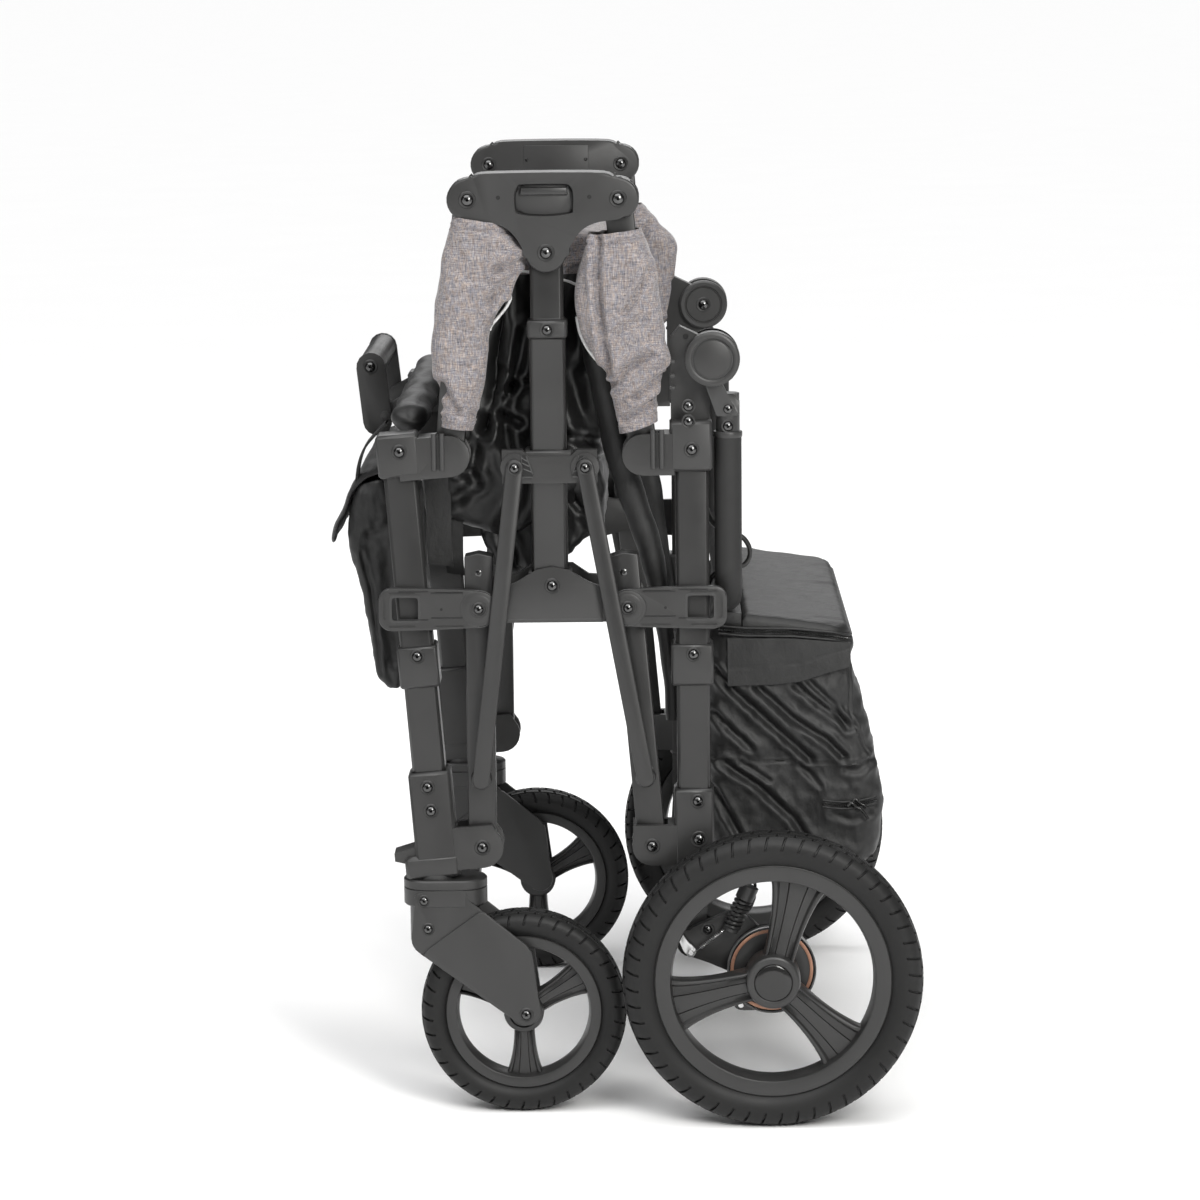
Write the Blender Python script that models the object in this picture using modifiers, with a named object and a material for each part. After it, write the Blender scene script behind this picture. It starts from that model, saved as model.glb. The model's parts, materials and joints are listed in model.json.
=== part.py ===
"""Folding pet stroller, folded and standing on its wheels.

+X is the rear (push handle, basket), -X the front (pouch, casters), +Z up, -Y the near side.
Sizes are in millimetres and turned into metres by the shape functions.
A side piece is placed by "out": the distance outward from its side's frame plane.
"""
import math

import bmesh
import bpy
from mathutils import Matrix, Vector

MM = 0.001

# Overall layout
FRAME_HALF = 281        # frame plane, from the middle of the stroller
REAR_TRACK_HALF = FRAME_HALF + 58
REAR_RADIUS = 150
REAR_TYRE_WIDTH = 45
REAR_TYRE_TALL = 32     # tread to rim
REAR_HUB_X = 124
FRONT_RADIUS = 104
FRONT_TYRE_WIDTH = 40
FRONT_TYRE_TALL = 25
RIM_TALL = 17           # rear rim, seat to opening
FRONT_RIM_TALL = 13
FRONT_HUB_X = -126

# Fits
GAP = 0.4               # between fixed neighbours
RUN = 0.6               # between a moving piece and the cheek beside it
SWING = 2.0             # beyond the round end of a turning rail
OPEN_SWING = 10.0       # the same at the front foot, whose pivot is left open

# Tubes
POST_WIDTH = 33
POST_DEPTH = 30
RAIL_WIDTH = 28
RAIL_DEPTH = 24
INNER_WIDTH = 32.5
INNER_DEPTH = 27
OUTER_WIDTH = 35.5
OUTER_DEPTH = 30
SLEEVE_WALL = 3.5       # moulded sleeves around the posts
CHEEK = 6.5             # fork cheek

# Linkage pivots, (x, z)
RAIL_VECTOR = (-22, 252)
REAR_TOP = (-1, 671)
REAR_LOW = (5, 276)
UPPER_SPREAD = 147      # between the two upper pivots of the top bracket
LOWER_SPREAD = 148
FRONT_LOW_DX = 0        # lower front pivot, from the arch pivot above it
TAIL = 42               # lower rail above its arch pivot
LINK_ON_RAIL = 182      # link pin, below the arch pivot

# Posts
REAR_POST_X = 47.5
REAR_POST_TOP = 700
REAR_POST_FOOT = 266
FRONT_POST_X = -218.5   # at the height below, where the post's lean is measured from
FRONT_POST_Z = 363
FRONT_LEAN = 4.46       # degrees, top towards the front
FRONT_POST_LOW = -70    # along the post, from the height above
FRONT_POST_HIGH = 327
MID_SLEEVE_Z = (439, 481)

# Centre post
CENTRE_X = -94
COLLAR_TOP = 805
COLLAR_HEIGHT = 19
SLIDER_Z = (644, 677)
SLIDER_PIN_Z = 660
SLIDER_PINS_X = (-127.5, -58)
LINK_WIDTH = 17
LINK_THICK = 4

# Push handle
HANDLE_PIVOT = (68, 765)
HANDLE_OFFSET = 15      # tube axis, rearward of the pivot
HANDLE_DROP = 245       # tube axis of the cross bar, below the pivot
HANDLE_TUBE_R = 11.5
GRIP_R = 13.5
GRIP_TOP = 690
DISC_R = 27

# Basket and pouch
BASKET_HALF = FRAME_HALF - 59
BASKET_WALL = 4
BASKET_TOP = 492
BASKET_FRONT_X = 73
BASKET_BACK = (207, 474)
BASKET_LID_X = 98       # the lid's free edge, clear of the handle's cross bar as it opens
LID_THICK = 9
POUCH_HALF = FRAME_HALF - 81
POUCH_TIP_X = -316

# Wheel carriers
ARM_PIVOT = (43, 174)
DRUM_R = 44
AXLE_R = 8
BORE_CLEAR = 0.3
CASTER_X = -213
CASTER_Z = 240

SHIFT = -(REAR_HUB_X + REAR_RADIUS + POUCH_TIP_X) / 2   # puts the origin under the middle
UPPER_REAR = (REAR_TOP[0] + RAIL_VECTOR[0], REAR_TOP[1] + RAIL_VECTOR[1])
UPPER_FRONT = (UPPER_REAR[0] - UPPER_SPREAD, UPPER_REAR[1])
FRONT_TOP = (UPPER_FRONT[0] + RAIL_VECTOR[0], UPPER_FRONT[1] - RAIL_VECTOR[1])
ARCH_REAR = (REAR_LOW[0] + RAIL_VECTOR[0], REAR_LOW[1] + RAIL_VECTOR[1])
ARCH_FRONT = (ARCH_REAR[0] - LOWER_SPREAD, ARCH_REAR[1])
FRONT_LOW = (ARCH_FRONT[0] + FRONT_LOW_DX, REAR_LOW[1])
RAIL_HALF = RAIL_DEPTH / 2
FORK_IN = RAIL_HALF + RUN
FORK_OUT = FORK_IN + CHEEK
ARM_LAYER = (POST_DEPTH / 2 + RUN, POST_DEPTH / 2 + RUN + 7.5)
LINK_LAYER = (ARM_LAYER[1] + RUN, ARM_LAYER[1] + RUN + LINK_THICK)
SIDES = {"near": -1, "far": 1}


for existing in list(bpy.data.objects):
    bpy.data.objects.remove(existing, do_unlink=True)
scene = bpy.context.scene
pieces = bpy.data.collections.new("pet_stroller")
cutters = bpy.data.collections.new("cutters")
scene.collection.children.link(pieces)
scene.collection.children.link(cutters)
cutters.hide_render = True


def empty(name, x, y, z, lean=0.0, parent=None):
    made = bpy.data.objects.new(name, None)
    made.empty_display_size = 0.02
    made.location = Vector((x, y, z)) * MM
    made.rotation_euler = (0, math.radians(lean), 0)
    made.parent = parent
    pieces.objects.link(made)
    return made


whole = empty("stroller_origin", SHIFT, 0, 0)
front = empty("front_frame_origin", FRONT_POST_X, 0, FRONT_POST_Z, -FRONT_LEAN, whole)


def to_front(point):
    """A side-view point in the leaning front frame's own coordinates."""
    lean = math.radians(FRONT_LEAN)
    dx = point[0] - FRONT_POST_X
    dz = point[1] - FRONT_POST_Z
    return (dx * math.cos(lean) + dz * math.sin(lean), dz * math.cos(lean) - dx * math.sin(lean))


def material(name, colour, roughness, metallic=0.0):
    made = bpy.data.materials.new(name)
    made.use_nodes = True
    shader = made.node_tree.nodes["Principled BSDF"]
    shader.inputs["Base Color"].default_value = (*colour, 1)
    shader.inputs["Roughness"].default_value = roughness
    shader.inputs["Metallic"].default_value = metallic
    return made


FRAME_PAINT = material("frame_paint", (0.040, 0.041, 0.042), 0.5, 0.3)
MOULDED = material("moulded_plastic", (0.035, 0.036, 0.037), 0.55)
TYRE = material("tyre_rubber", (0.018, 0.018, 0.019), 0.75)
WHEEL = material("wheel_plastic", (0.030, 0.031, 0.032), 0.5)
FOAM = material("grip_foam", (0.020, 0.020, 0.021), 0.85)
BLACK_CLOTH = material("black_cloth", (0.015, 0.015, 0.016), 0.8)
HEATHER = material("heather_cloth", (0.27, 0.25, 0.25), 0.9)
CABLE = material("cable_sheath", (0.015, 0.015, 0.015), 0.45)


def keep(obj, name, group=cutters):
    obj.name = name
    for holder in list(obj.users_collection):
        holder.objects.unlink(obj)
    group.objects.link(obj)
    if group is cutters:
        obj.hide_render = True
        obj.display_type = "WIRE"
    return obj


def mesh_object(name, build):
    """An object whose mesh is what build(bm) leaves."""
    mesh = bpy.data.meshes.new(name)
    bm = bmesh.new()
    build(bm)
    bm.to_mesh(mesh)
    bm.free()
    return keep(bpy.data.objects.new(name, mesh), name)


def box(x, y, z, soften=0.0):
    """A box between two limits on each axis, its edges bevelled by soften."""
    spans = [(min(pair), max(pair)) for pair in (x, y, z)]

    def build(bm):
        bmesh.ops.create_cube(bm, size=1)
        for axis, (low, high) in enumerate(spans):
            for vert in bm.verts:
                vert.co[axis] = MM * ((low + high) / 2 + vert.co[axis] * (high - low))
        if soften:
            bmesh.ops.bevel(bm, geom=list(bm.edges), offset=soften * MM, segments=1,
                            affect="EDGES")

    return mesh_object("box", build)


def cylinder(centre, radius, y, segments=24):
    """A cylinder along Y, centred on a side-view point."""
    low, high = min(y), max(y)

    def build(bm):
        bmesh.ops.create_cone(bm, cap_ends=True, segments=segments, radius1=radius * MM,
                              radius2=radius * MM, depth=(high - low) * MM)
        turn = Matrix.Rotation(math.pi / 2, 4, "X")
        bmesh.ops.transform(bm, matrix=turn, verts=bm.verts)
        shift = Vector((centre[0], (low + high) / 2, centre[1])) * MM
        bmesh.ops.translate(bm, vec=shift, verts=bm.verts)

    return mesh_object("cylinder", build)


def from_curve(curve):
    """A curve object turned into a mesh object with its caps welded."""
    holder = bpy.data.objects.new("curve", curve)
    scene.collection.objects.link(holder)
    bpy.context.view_layer.update()
    graph = bpy.context.evaluated_depsgraph_get()
    mesh = bpy.data.meshes.new_from_object(holder.evaluated_get(graph))
    bm = bmesh.new()
    bm.from_mesh(mesh)
    bmesh.ops.remove_doubles(bm, verts=bm.verts, dist=1e-5)
    bmesh.ops.recalc_face_normals(bm, faces=bm.faces)
    bm.to_mesh(mesh)
    bm.free()
    made = bpy.data.objects.new("curve_mesh", mesh)
    bpy.data.objects.remove(holder, do_unlink=True)
    return keep(made, "curve_mesh")


def plate(outline, y):
    """A flat outline of side-view points, extruded between two depths."""
    low, high = min(y), max(y)
    curve = bpy.data.curves.new("outline", "CURVE")
    curve.dimensions = "2D"
    curve.fill_mode = "BOTH"
    curve.extrude = (high - low) / 2 * MM
    spline = curve.splines.new("POLY")
    spline.points.add(len(outline) - 1)
    for point, (px, pz) in zip(spline.points, outline):
        point.co = (px * MM, pz * MM, 0, 1)
    spline.use_cyclic_u = True
    made = from_curve(curve)
    made.data.transform(Matrix.Rotation(math.pi / 2, 4, "X"))
    made.data.transform(Matrix.Translation((0, (low + high) / 2 * MM, 0)))
    return made


def tube(route, radius, sides=2):
    """A round bar along a route of points."""
    curve = bpy.data.curves.new("route", "CURVE")
    curve.dimensions = "3D"
    curve.bevel_depth = radius * MM
    curve.bevel_resolution = sides
    curve.use_fill_caps = True
    spline = curve.splines.new("POLY")
    spline.points.add(len(route) - 1)
    for point, place in zip(spline.points, route):
        point.co = (*(Vector(place) * MM), 1)
    return from_curve(curve)


def arc(centre, radius, start, end, steps=6):
    """Side-view points on a circle; angles in degrees from +X towards +Z."""
    made = []
    for step in range(steps + 1):
        angle = math.radians(start + (end - start) * step / steps)
        made.append((centre[0] + radius * math.cos(angle), centre[1] + radius * math.sin(angle)))
    return made


def capsule(first, last, radius, steps=8):
    """The outline of a bar with round ends around two points."""
    heading = math.degrees(math.atan2(last[1] - first[1], last[0] - first[0]))
    return (arc(last, radius, heading - 90, heading + 90, steps)
            + arc(first, radius, heading + 90, heading + 270, steps))


def along(start, end, distance, offset=0.0):
    """A point a distance along a line, and offset to its left."""
    length = math.dist(start, end)
    ux = (end[0] - start[0]) / length
    uz = (end[1] - start[1]) / length
    return (start[0] + ux * distance - uz * offset, start[1] + uz * distance + ux * offset)


def out(side, *distances):
    """Depths outward from a side's frame plane."""
    return [side * (FRAME_HALF + distance) for distance in distances]


def solid(name, paint, adds, cuts=(), pivot=None, parent=None, smooth=40):
    """One node: the first shape, joined with the others and cut, with its origin on its pivot."""
    base = keep(adds[0], name, pieces)
    base.display_type = "TEXTURED"
    base.hide_render = False
    base.data.materials.clear()
    base.data.materials.append(paint)
    frame = parent or whole
    base.parent = frame
    for operation, shapes in (("UNION", adds[1:]), ("DIFFERENCE", cuts)):
        for number, shape in enumerate(shapes):
            shape.name = f"{name}_{operation.lower()}_{number}"
            shape.parent = frame
            modifier = base.modifiers.new(f"{operation.lower()}_{number}", "BOOLEAN")
            modifier.operation = operation
            modifier.object = shape
            modifier.solver = "EXACT"
    if pivot:
        place = Vector(pivot) * MM
        base.data.transform(Matrix.Translation(-place))
        base.location = place
    base.data.shade_smooth()
    base.data.set_sharp_from_angle(angle=math.radians(smooth))
    return base


def turned(profile, steps):
    """A closed profile of (radius, depth) points turned about the Y axis, as a mesh shape."""
    mesh = bpy.data.meshes.new("profile")
    bm = bmesh.new()
    verts = [bm.verts.new((r * MM, 0, d * MM)) for r, d in profile]
    for number, vert in enumerate(verts):
        bm.edges.new((vert, verts[(number + 1) % len(verts)]))
    bm.to_mesh(mesh)
    bm.free()
    holder = bpy.data.objects.new("profile", mesh)
    scene.collection.objects.link(holder)
    screw = holder.modifiers.new("turn", "SCREW")
    screw.steps = steps
    screw.render_steps = steps
    screw.use_merge_vertices = True
    screw.merge_threshold = 0.00001
    bpy.context.view_layer.update()
    graph = bpy.context.evaluated_depsgraph_get()
    made_mesh = bpy.data.meshes.new_from_object(holder.evaluated_get(graph))
    bpy.data.objects.remove(holder, do_unlink=True)
    made_mesh.transform(Matrix.Rotation(math.pi / 2, 4, "X"))
    return keep(bpy.data.objects.new("turned", made_mesh), "turned")


def moved(obj, x, y, z):
    obj.data.transform(Matrix.Translation(Vector((x, y, z)) * MM))
    return obj


def rail(start, end, tail=0.0):
    """A rail's outline from its round end to the other pivot, with a flat tail beyond it."""
    half = RAIL_WIDTH / 2
    heading = math.degrees(math.atan2(start[1] - end[1], start[0] - end[0]))
    low = arc(start, half, heading - 90, heading + 90, 8)
    if not tail:
        return low + arc(end, half, heading + 90, heading + 270, 8)
    length = math.dist(start, end)
    left = along(start, end, length + tail, half)
    right = along(start, end, length + tail, -half)
    crown = along(start, end, length + tail + 3)
    return low + [right, crown, left]


def rear_frame(side, word):
    depth = out(side, -POST_DEPTH / 2, POST_DEPTH / 2)
    wall = POST_DEPTH / 2 + SLEEVE_WALL
    x = (REAR_POST_X - POST_WIDTH / 2, REAR_POST_X + POST_WIDTH / 2)
    sleeve_x = (x[0] - SLEEVE_WALL - 2, x[1] + SLEEVE_WALL)
    solid(f"rear_post_{word}", FRAME_PAINT,
          [box(x, depth, (REAR_POST_FOOT, REAR_POST_TOP), 3),
           box(sleeve_x, out(side, -wall, wall), MID_SLEEVE_Z, 2)])
    clear = (x[0] - GAP, x[1] + GAP)
    clear_y = out(side, -POST_DEPTH / 2 - GAP, POST_DEPTH / 2 + GAP)
    top = HANDLE_PIVOT[1]
    ear = ([(27, REAR_POST_TOP - 8), (66, REAR_POST_TOP - 8), (66, top - 24)]
           + arc(HANDLE_PIVOT, DISC_R - 2, -75, 120, 8)
           + [(36, 796), (27, 785)])
    knuckle = [(30, REAR_TOP[1] + 20.5)] + arc(REAR_TOP, 20.5, 90, 270, 10) + [(30, REAR_TOP[1] - 20.5)]
    slot_x = (REAR_TOP[0] - 40, REAR_TOP[0] + RAIL_WIDTH / 2 + SWING)
    solid(f"rear_top_bracket_{word}", MOULDED,
          [box(sleeve_x, out(side, -wall - 1, wall + 1), (654, 704), 3),
           plate(ear, out(side, -wall + 1, -RUN)),
           plate(knuckle, out(side, -FORK_OUT, FORK_OUT))],
          [box(clear, clear_y, (640, REAR_POST_TOP + GAP)),
           box(slot_x, out(side, -FORK_IN, FORK_IN), (600, 720))])


def axle_frame():
    """Both feet with their forks, the legs down to the swing arms and the cross tube."""
    x = (REAR_POST_X - POST_WIDTH / 2, REAR_POST_X + POST_WIDTH / 2)
    wall = POST_DEPTH / 2 + SLEEVE_WALL + 1
    adds = []
    cuts = []
    tube_z = 212
    for side in SIDES.values():
        leg = [(30, 262), (64, 262), (60, 200)] + arc(ARM_PIVOT, 15, -10, -170, 8) + [(30, 200)]
        fork = [(34, 297), (-14, 297)] + arc(REAR_LOW, 20, 160, 270, 6) + [(34, 256)]
        adds.append(box((x[0] - SLEEVE_WALL, x[1] + SLEEVE_WALL), out(side, -wall, wall), (250, 334), 3))
        adds.append(plate(leg, out(side, -wall + 2, -RUN)))
        adds.append(plate(fork, out(side, -FORK_OUT, FORK_OUT)))
        cuts.append(box((x[0] - GAP, x[1] + GAP),
                        out(side, -POST_DEPTH / 2 - GAP, POST_DEPTH / 2 + GAP),
                        (REAR_POST_FOOT - GAP, 360)))
        cuts.append(box((REAR_LOW[0] - 40, REAR_LOW[0] + RAIL_WIDTH / 2 + SWING),
                        out(side, -FORK_IN, FORK_IN), (240, 320)))
    reach = FRAME_HALF - 5
    adds.insert(0, cylinder((ARM_PIVOT[0] + 3, tube_z), 13, (-reach, reach), 20))
    solid("rear_axle_frame", FRAME_PAINT, adds, cuts)


def rear_wheel_set(side, word):
    hub = (REAR_HUB_X, REAR_RADIUS)
    inner_face = REAR_TRACK_HALF - FRAME_HALF - REAR_TYRE_WIDTH / 2
    arm = ([(ARM_PIVOT[0] + 2, ARM_PIVOT[1] + 16), (80, 205), (102, 200)]
           + arc(hub, 22, 70, -110, 10) + [(60, 154)] + arc(ARM_PIVOT, 14, 270, 90, 8))
    drum_out = inner_face - 8
    seat = REAR_RADIUS - REAR_TYRE_TALL
    solid(f"rear_swing_arm_{word}", MOULDED,
          [plate(arm, out(side, 1, 13)),
           cylinder(hub, DRUM_R, out(side, 12, drum_out), 32),
           cylinder(hub, AXLE_R, out(side, 5, inner_face + 28), 20)],
          pivot=(ARM_PIVOT[0], out(side, 0)[0], ARM_PIVOT[1]))
    solid(f"rear_tyre_{word}", TYRE, [moved(tyre(REAR_RADIUS, seat, REAR_TYRE_WIDTH, 40),
                                            hub[0], side * REAR_TRACK_HALF, hub[1])],
          pivot=(hub[0], side * REAR_TRACK_HALF, hub[1]), smooth=50)
    shapes = wheel_shapes(seat - GAP, seat - RIM_TALL, 28, 27, (75, 195, 315), 19, hub, side * REAR_TRACK_HALF, side)
    bore = cylinder(hub, AXLE_R + BORE_CLEAR, out(side, inner_face - 20, inner_face + 29), 20)
    solid(f"rear_wheel_{word}", WHEEL, shapes, [bore],
          pivot=(hub[0], side * REAR_TRACK_HALF, hub[1]))


def tyre(radius, inside, width, steps):
    """The turned ring of a tyre with a round crown and a seat for the rim."""
    half = width / 2
    profile = [(radius, 7), (radius, -7), (radius - 4, -half + 5), (radius - 12, -half),
               (inside, -half + 7), (inside, half - 7), (radius - 12, half), (radius - 4, half - 5)]
    return turned(profile, steps)


def wheel_shapes(rim, opening, half, hub_r, angles, cap_r, hub, y, side):
    """Rim ring, hub with its cap, and three spokes that flare at the rim."""
    ring = turned([(rim, 12), (rim, -12), (opening + 2, -15), (opening, 0), (opening + 2, 15)], 32)
    parts = [moved(ring, hub[0], y, hub[1]),
             cylinder(hub, hub_r, (y - 16, y + 16), 28),
             cylinder(hub, cap_r, (y, y + side * 19), 24)]
    for angle in angles:
        spoke = []
        for reach, spread in ((0.0, 0.55), (0.45, 0.42), (0.75, 0.5), (1.0, 0.8)):
            distance = hub_r * 0.5 + reach * (opening + 3 - hub_r * 0.5)
            spoke.append((distance, hub_r * spread))
        outline = spoke + [(distance, -width) for distance, width in reversed(spoke)]
        turn = math.radians(angle)
        placed = [(hub[0] + a * math.cos(turn) - b * math.sin(turn),
                   hub[1] + a * math.sin(turn) + b * math.cos(turn)) for a, b in outline]
        parts.append(plate(placed, (y - 8, y + 8)))
    return parts


def push_handle():
    x = HANDLE_PIVOT[0] + HANDLE_OFFSET
    low = HANDLE_PIVOT[1] - HANDLE_DROP
    reach = FRAME_HALF + 0.5
    corner = 38

    def route(top):
        """Down one side, round the corner, across, and up the other side."""
        made = [(x, -reach, top)]
        made += [(x, -reach + corner - corner * math.cos(math.radians(a)),
                  low + corner - corner * math.sin(math.radians(a))) for a in range(0, 91, 15)]
        return made + [(px, -py, pz) for px, py, pz in reversed(made)]

    start = HANDLE_PIVOT[1] - DISC_R - 8
    adds = [tube(route(start), HANDLE_TUBE_R)]
    for side in SIDES.values():
        neck = (arc(HANDLE_PIVOT, DISC_R - 3, -70, 250, 12)
                + [(x - 11, start - 22), (x + 11, start - 22)])
        adds.append(plate(neck, out(side, 0, 13)))
        adds.append(cylinder(HANDLE_PIVOT, DISC_R, out(side, 2, 20), 32))
        adds.append(cylinder((x, start - 12), HANDLE_TUBE_R, out(side, 1, 12), 16))
    solid("push_handle", FRAME_PAINT, adds, pivot=(HANDLE_PIVOT[0], 0, HANDLE_PIVOT[1]))
    solid("push_handle_grip", FOAM, [tube(route(GRIP_TOP), GRIP_R)],
          [tube(route(GRIP_TOP + 20), HANDLE_TUBE_R + GAP)],
          pivot=(HANDLE_PIVOT[0], 0, HANDLE_PIVOT[1]))


def centre_unit(side, word):
    tip = (CENTRE_X, 871)
    right = UPPER_REAR
    left = UPPER_FRONT
    lobe = 20.5
    web = 903
    outline = (arc(right, lobe, 90, -80, 8)
               + [(right[0] - 18, web), (-58, 893), (-70, 878)]
               + arc(tip, 19.5, 0, -180, 8)
               + [(-118, 878), (-130, 893), (left[0] + 18, web)]
               + arc(left, lobe, 260, 90, 8)
               + [(left[0] + 10, left[1] + 25), (right[0] - 10, right[1] + 25)])
    post_x = (CENTRE_X - INNER_WIDTH / 2, CENTRE_X + INNER_WIDTH / 2)
    post_top = 893
    shelf = RAIL_WIDTH / 2 + SWING
    grip = [(-124, 909), (-68, 909), (-68, 932), (-72, 935), (-120, 935), (-124, 932)]
    cuts = [box((post_x[0] - GAP, post_x[1] + GAP),
                out(side, -INNER_DEPTH / 2 - GAP, INNER_DEPTH / 2 + GAP), (820, post_top + GAP)),
            box((right[0] - shelf, right[0] + 60), out(side, -FORK_IN, FORK_IN), (850, right[1] + shelf)),
            box((left[0] - 60, left[0] + shelf), out(side, -FORK_IN, FORK_IN), (850, left[1] + shelf)),
            plate(grip, out(side, 10, 30))]
    solid(f"top_bracket_{word}", MOULDED, [plate(outline, out(side, -FORK_OUT - 1, FORK_OUT + 1))], cuts,
          pivot=(right[0], out(side, 0)[0], right[1]))
    outer_x = (CENTRE_X - OUTER_WIDTH / 2, CENTRE_X + OUTER_WIDTH / 2)
    foot = 524
    collar = (COLLAR_TOP - COLLAR_HEIGHT, COLLAR_TOP)
    solid(f"centre_post_{word}", FRAME_PAINT,
          [box(outer_x, out(side, -OUTER_DEPTH / 2, OUTER_DEPTH / 2), (foot, collar[0] + 5), 3),
           box(post_x, out(side, -INNER_DEPTH / 2, INNER_DEPTH / 2), (collar[0], post_top), 3),
           box((outer_x[0] - 2, outer_x[1] + 2), out(side, -OUTER_DEPTH / 2 - 3, OUTER_DEPTH / 2 + 3),
               collar, 2)],
          pivot=(right[0], out(side, 0)[0], right[1]))
    arch(side, word, outer_x, foot)
    slider(side, word, outer_x)


def arch(side, word, post_x, foot):
    """Back plate from pivot to pivot, a boss around the post's foot, and a front cover."""
    reach = 17
    mid = CENTRE_X + 2
    back = ([(ARCH_FRONT[0], ARCH_FRONT[1] + reach)] + arc(ARCH_FRONT, reach, 90, 250, 6)
            + [(-140, 504), (-44, 504)] + arc(ARCH_REAR, reach, -70, 90, 6)
            + [(-56, 548), (mid + 20, 559), (mid - 20, 559), (-128, 548)])
    cover = [(-142, 504), (-42, 504), (-42, 538), (-58, 545), (mid + 16, 557), (mid, 560),
             (mid - 16, 557), (-126, 545), (-142, 538)]
    solid(f"arch_bracket_{word}", MOULDED,
          [plate(back, out(side, -FORK_OUT, -FORK_IN)),
           box((post_x[0] - 4, post_x[1] + 4), out(side, -FORK_OUT + 2, FORK_OUT - 3), (506, 556), 2),
           plate(cover, out(side, FORK_IN, FORK_OUT - 1.6))],
          [box((post_x[0] - GAP, post_x[1] + GAP),
               out(side, -OUTER_DEPTH / 2 - GAP, OUTER_DEPTH / 2 + GAP), (foot - GAP, 600))],
          pivot=(UPPER_REAR[0], out(side, 0)[0], UPPER_REAR[1]))


def slider(side, word, post_x):
    ears = []
    z = SLIDER_Z
    for pin in SLIDER_PINS_X:
        ears.append(cylinder((pin, SLIDER_PIN_Z), 14, out(side, 12, ARM_LAYER[1]), 24))
    body = [(-140, z[0]), (-46, z[0]), (-46, z[1]), (-66, z[1]), (-72, z[1] - 6), (-114, z[1] - 6),
            (-120, z[1]), (-140, z[1])]
    sleeve = OUTER_DEPTH / 2 + RUN
    solid(f"slider_{word}", MOULDED,
          [box((post_x[0] - 6, post_x[1] + 6), out(side, -sleeve - 3, sleeve + 3), (z[0] + 1, z[1] - 1), 2),
           plate(body, out(side, 9, 21)), *ears],
          [box((post_x[0] - RUN, post_x[1] + RUN), out(side, -sleeve, sleeve), (600, 700))],
          pivot=(CENTRE_X, out(side, 0)[0], SLIDER_PIN_Z))


def links(side, word):
    ends = {"front": (SLIDER_PINS_X[0], ARCH_FRONT, FRONT_LOW),
            "rear": (SLIDER_PINS_X[1], ARCH_REAR, REAR_LOW)}
    for end, (pin_x, high, low) in ends.items():
        top = (pin_x, SLIDER_PIN_Z)
        foot = along(high, low, LINK_ON_RAIL)
        solid(f"link_{end}_{word}", FRAME_PAINT,
              [plate(capsule(foot, top, LINK_WIDTH / 2), out(side, *LINK_LAYER))],
              pivot=(top[0], out(side, 0)[0], top[1]))


def rails(side, word):
    depth = out(side, -RAIL_HALF, RAIL_HALF)
    plane = out(side, 0)[0]
    for end, low, high in (("rear", REAR_TOP, UPPER_REAR), ("front", FRONT_TOP, UPPER_FRONT)):
        pivot = low if end == "rear" else high
        solid(f"upper_rail_{end}_{word}", FRAME_PAINT, [plate(rail(low, high), depth)],
              pivot=(pivot[0], plane, pivot[1]))
    for end, low, high in (("rear", REAR_LOW, ARCH_REAR), ("front", FRONT_LOW, ARCH_FRONT)):
        pivot = low if end == "rear" else high
        pin = along(high, low, LINK_ON_RAIL)
        solid(f"lower_rail_{end}_{word}", FRAME_PAINT,
              [plate(rail(low, high, TAIL), depth),
               cylinder(pin, 10, out(side, RAIL_HALF - 2, ARM_LAYER[1]), 20)],
              pivot=(pivot[0], plane, pivot[1]))


def rail_sleeves(side, word):
    """Cloth sleeves on the upper rails, each cut through for its rail."""
    depth = out(side, -22, 22)
    hole = out(side, -RAIL_HALF - GAP, RAIL_HALF + GAP)
    plane = out(side, 0)[0]
    rear = [(-44, 868), (6, 874), (16, 858), (18, 780), (24, 712), (-18, 706), (-40, 760),
            (-56, 806), (-50, 850)]
    front = [(-204, 892), (-146, 892), (-136, 866), (-126, 846), (-140, 800), (-166, 748),
             (-174, 702), (-210, 702), (-214, 800), (-210, 860)]
    for end, outline, low, high in (("rear", rear, REAR_TOP, UPPER_REAR),
                                    ("front", front, FRONT_TOP, UPPER_FRONT)):
        pivot = low if end == "rear" else high
        channel = capsule(along(low, high, -60), along(low, high, 320), RAIL_WIDTH / 2 + GAP)
        solid(f"rail_sleeve_{end}_{word}", HEATHER, [plate(outline, depth)], [plate(channel, hole)],
              pivot=(pivot[0], plane, pivot[1]))


def latches(side, word):
    """Arms that lie over the posts, each with a window near its free end."""
    plane = out(side, 0)[0]
    for end, pivot, tip, way in (("front", ARCH_FRONT, -264, -1), ("rear", ARCH_REAR, 81, 1)):
        z = pivot[1] - 9
        half = 21
        tip_x = tip - way * 12
        root = (pivot[0], z)
        body = [(root[0], z + 19), (tip_x, z + half)]
        body += [(tip_x + way * 12 * math.sin(math.radians(a)), z + (half - 12) + 12 * math.cos(math.radians(a)))
                 for a in range(15, 91, 15)]
        body += [(px, 2 * z - pz) for px, pz in reversed(body)]
        window = (tip - way * 12, tip - way * 41)
        solid(f"latch_arm_{end}_{word}", MOULDED,
              [plate(body, out(side, *ARM_LAYER)),
               cylinder(root, 19, out(side, ARM_LAYER[0], ARM_LAYER[1] - 0.1), 32)],
              [box(window, out(side, 0, 40), (z - 13, z + 14))],
              pivot=(root[0], plane, root[1]))


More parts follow.
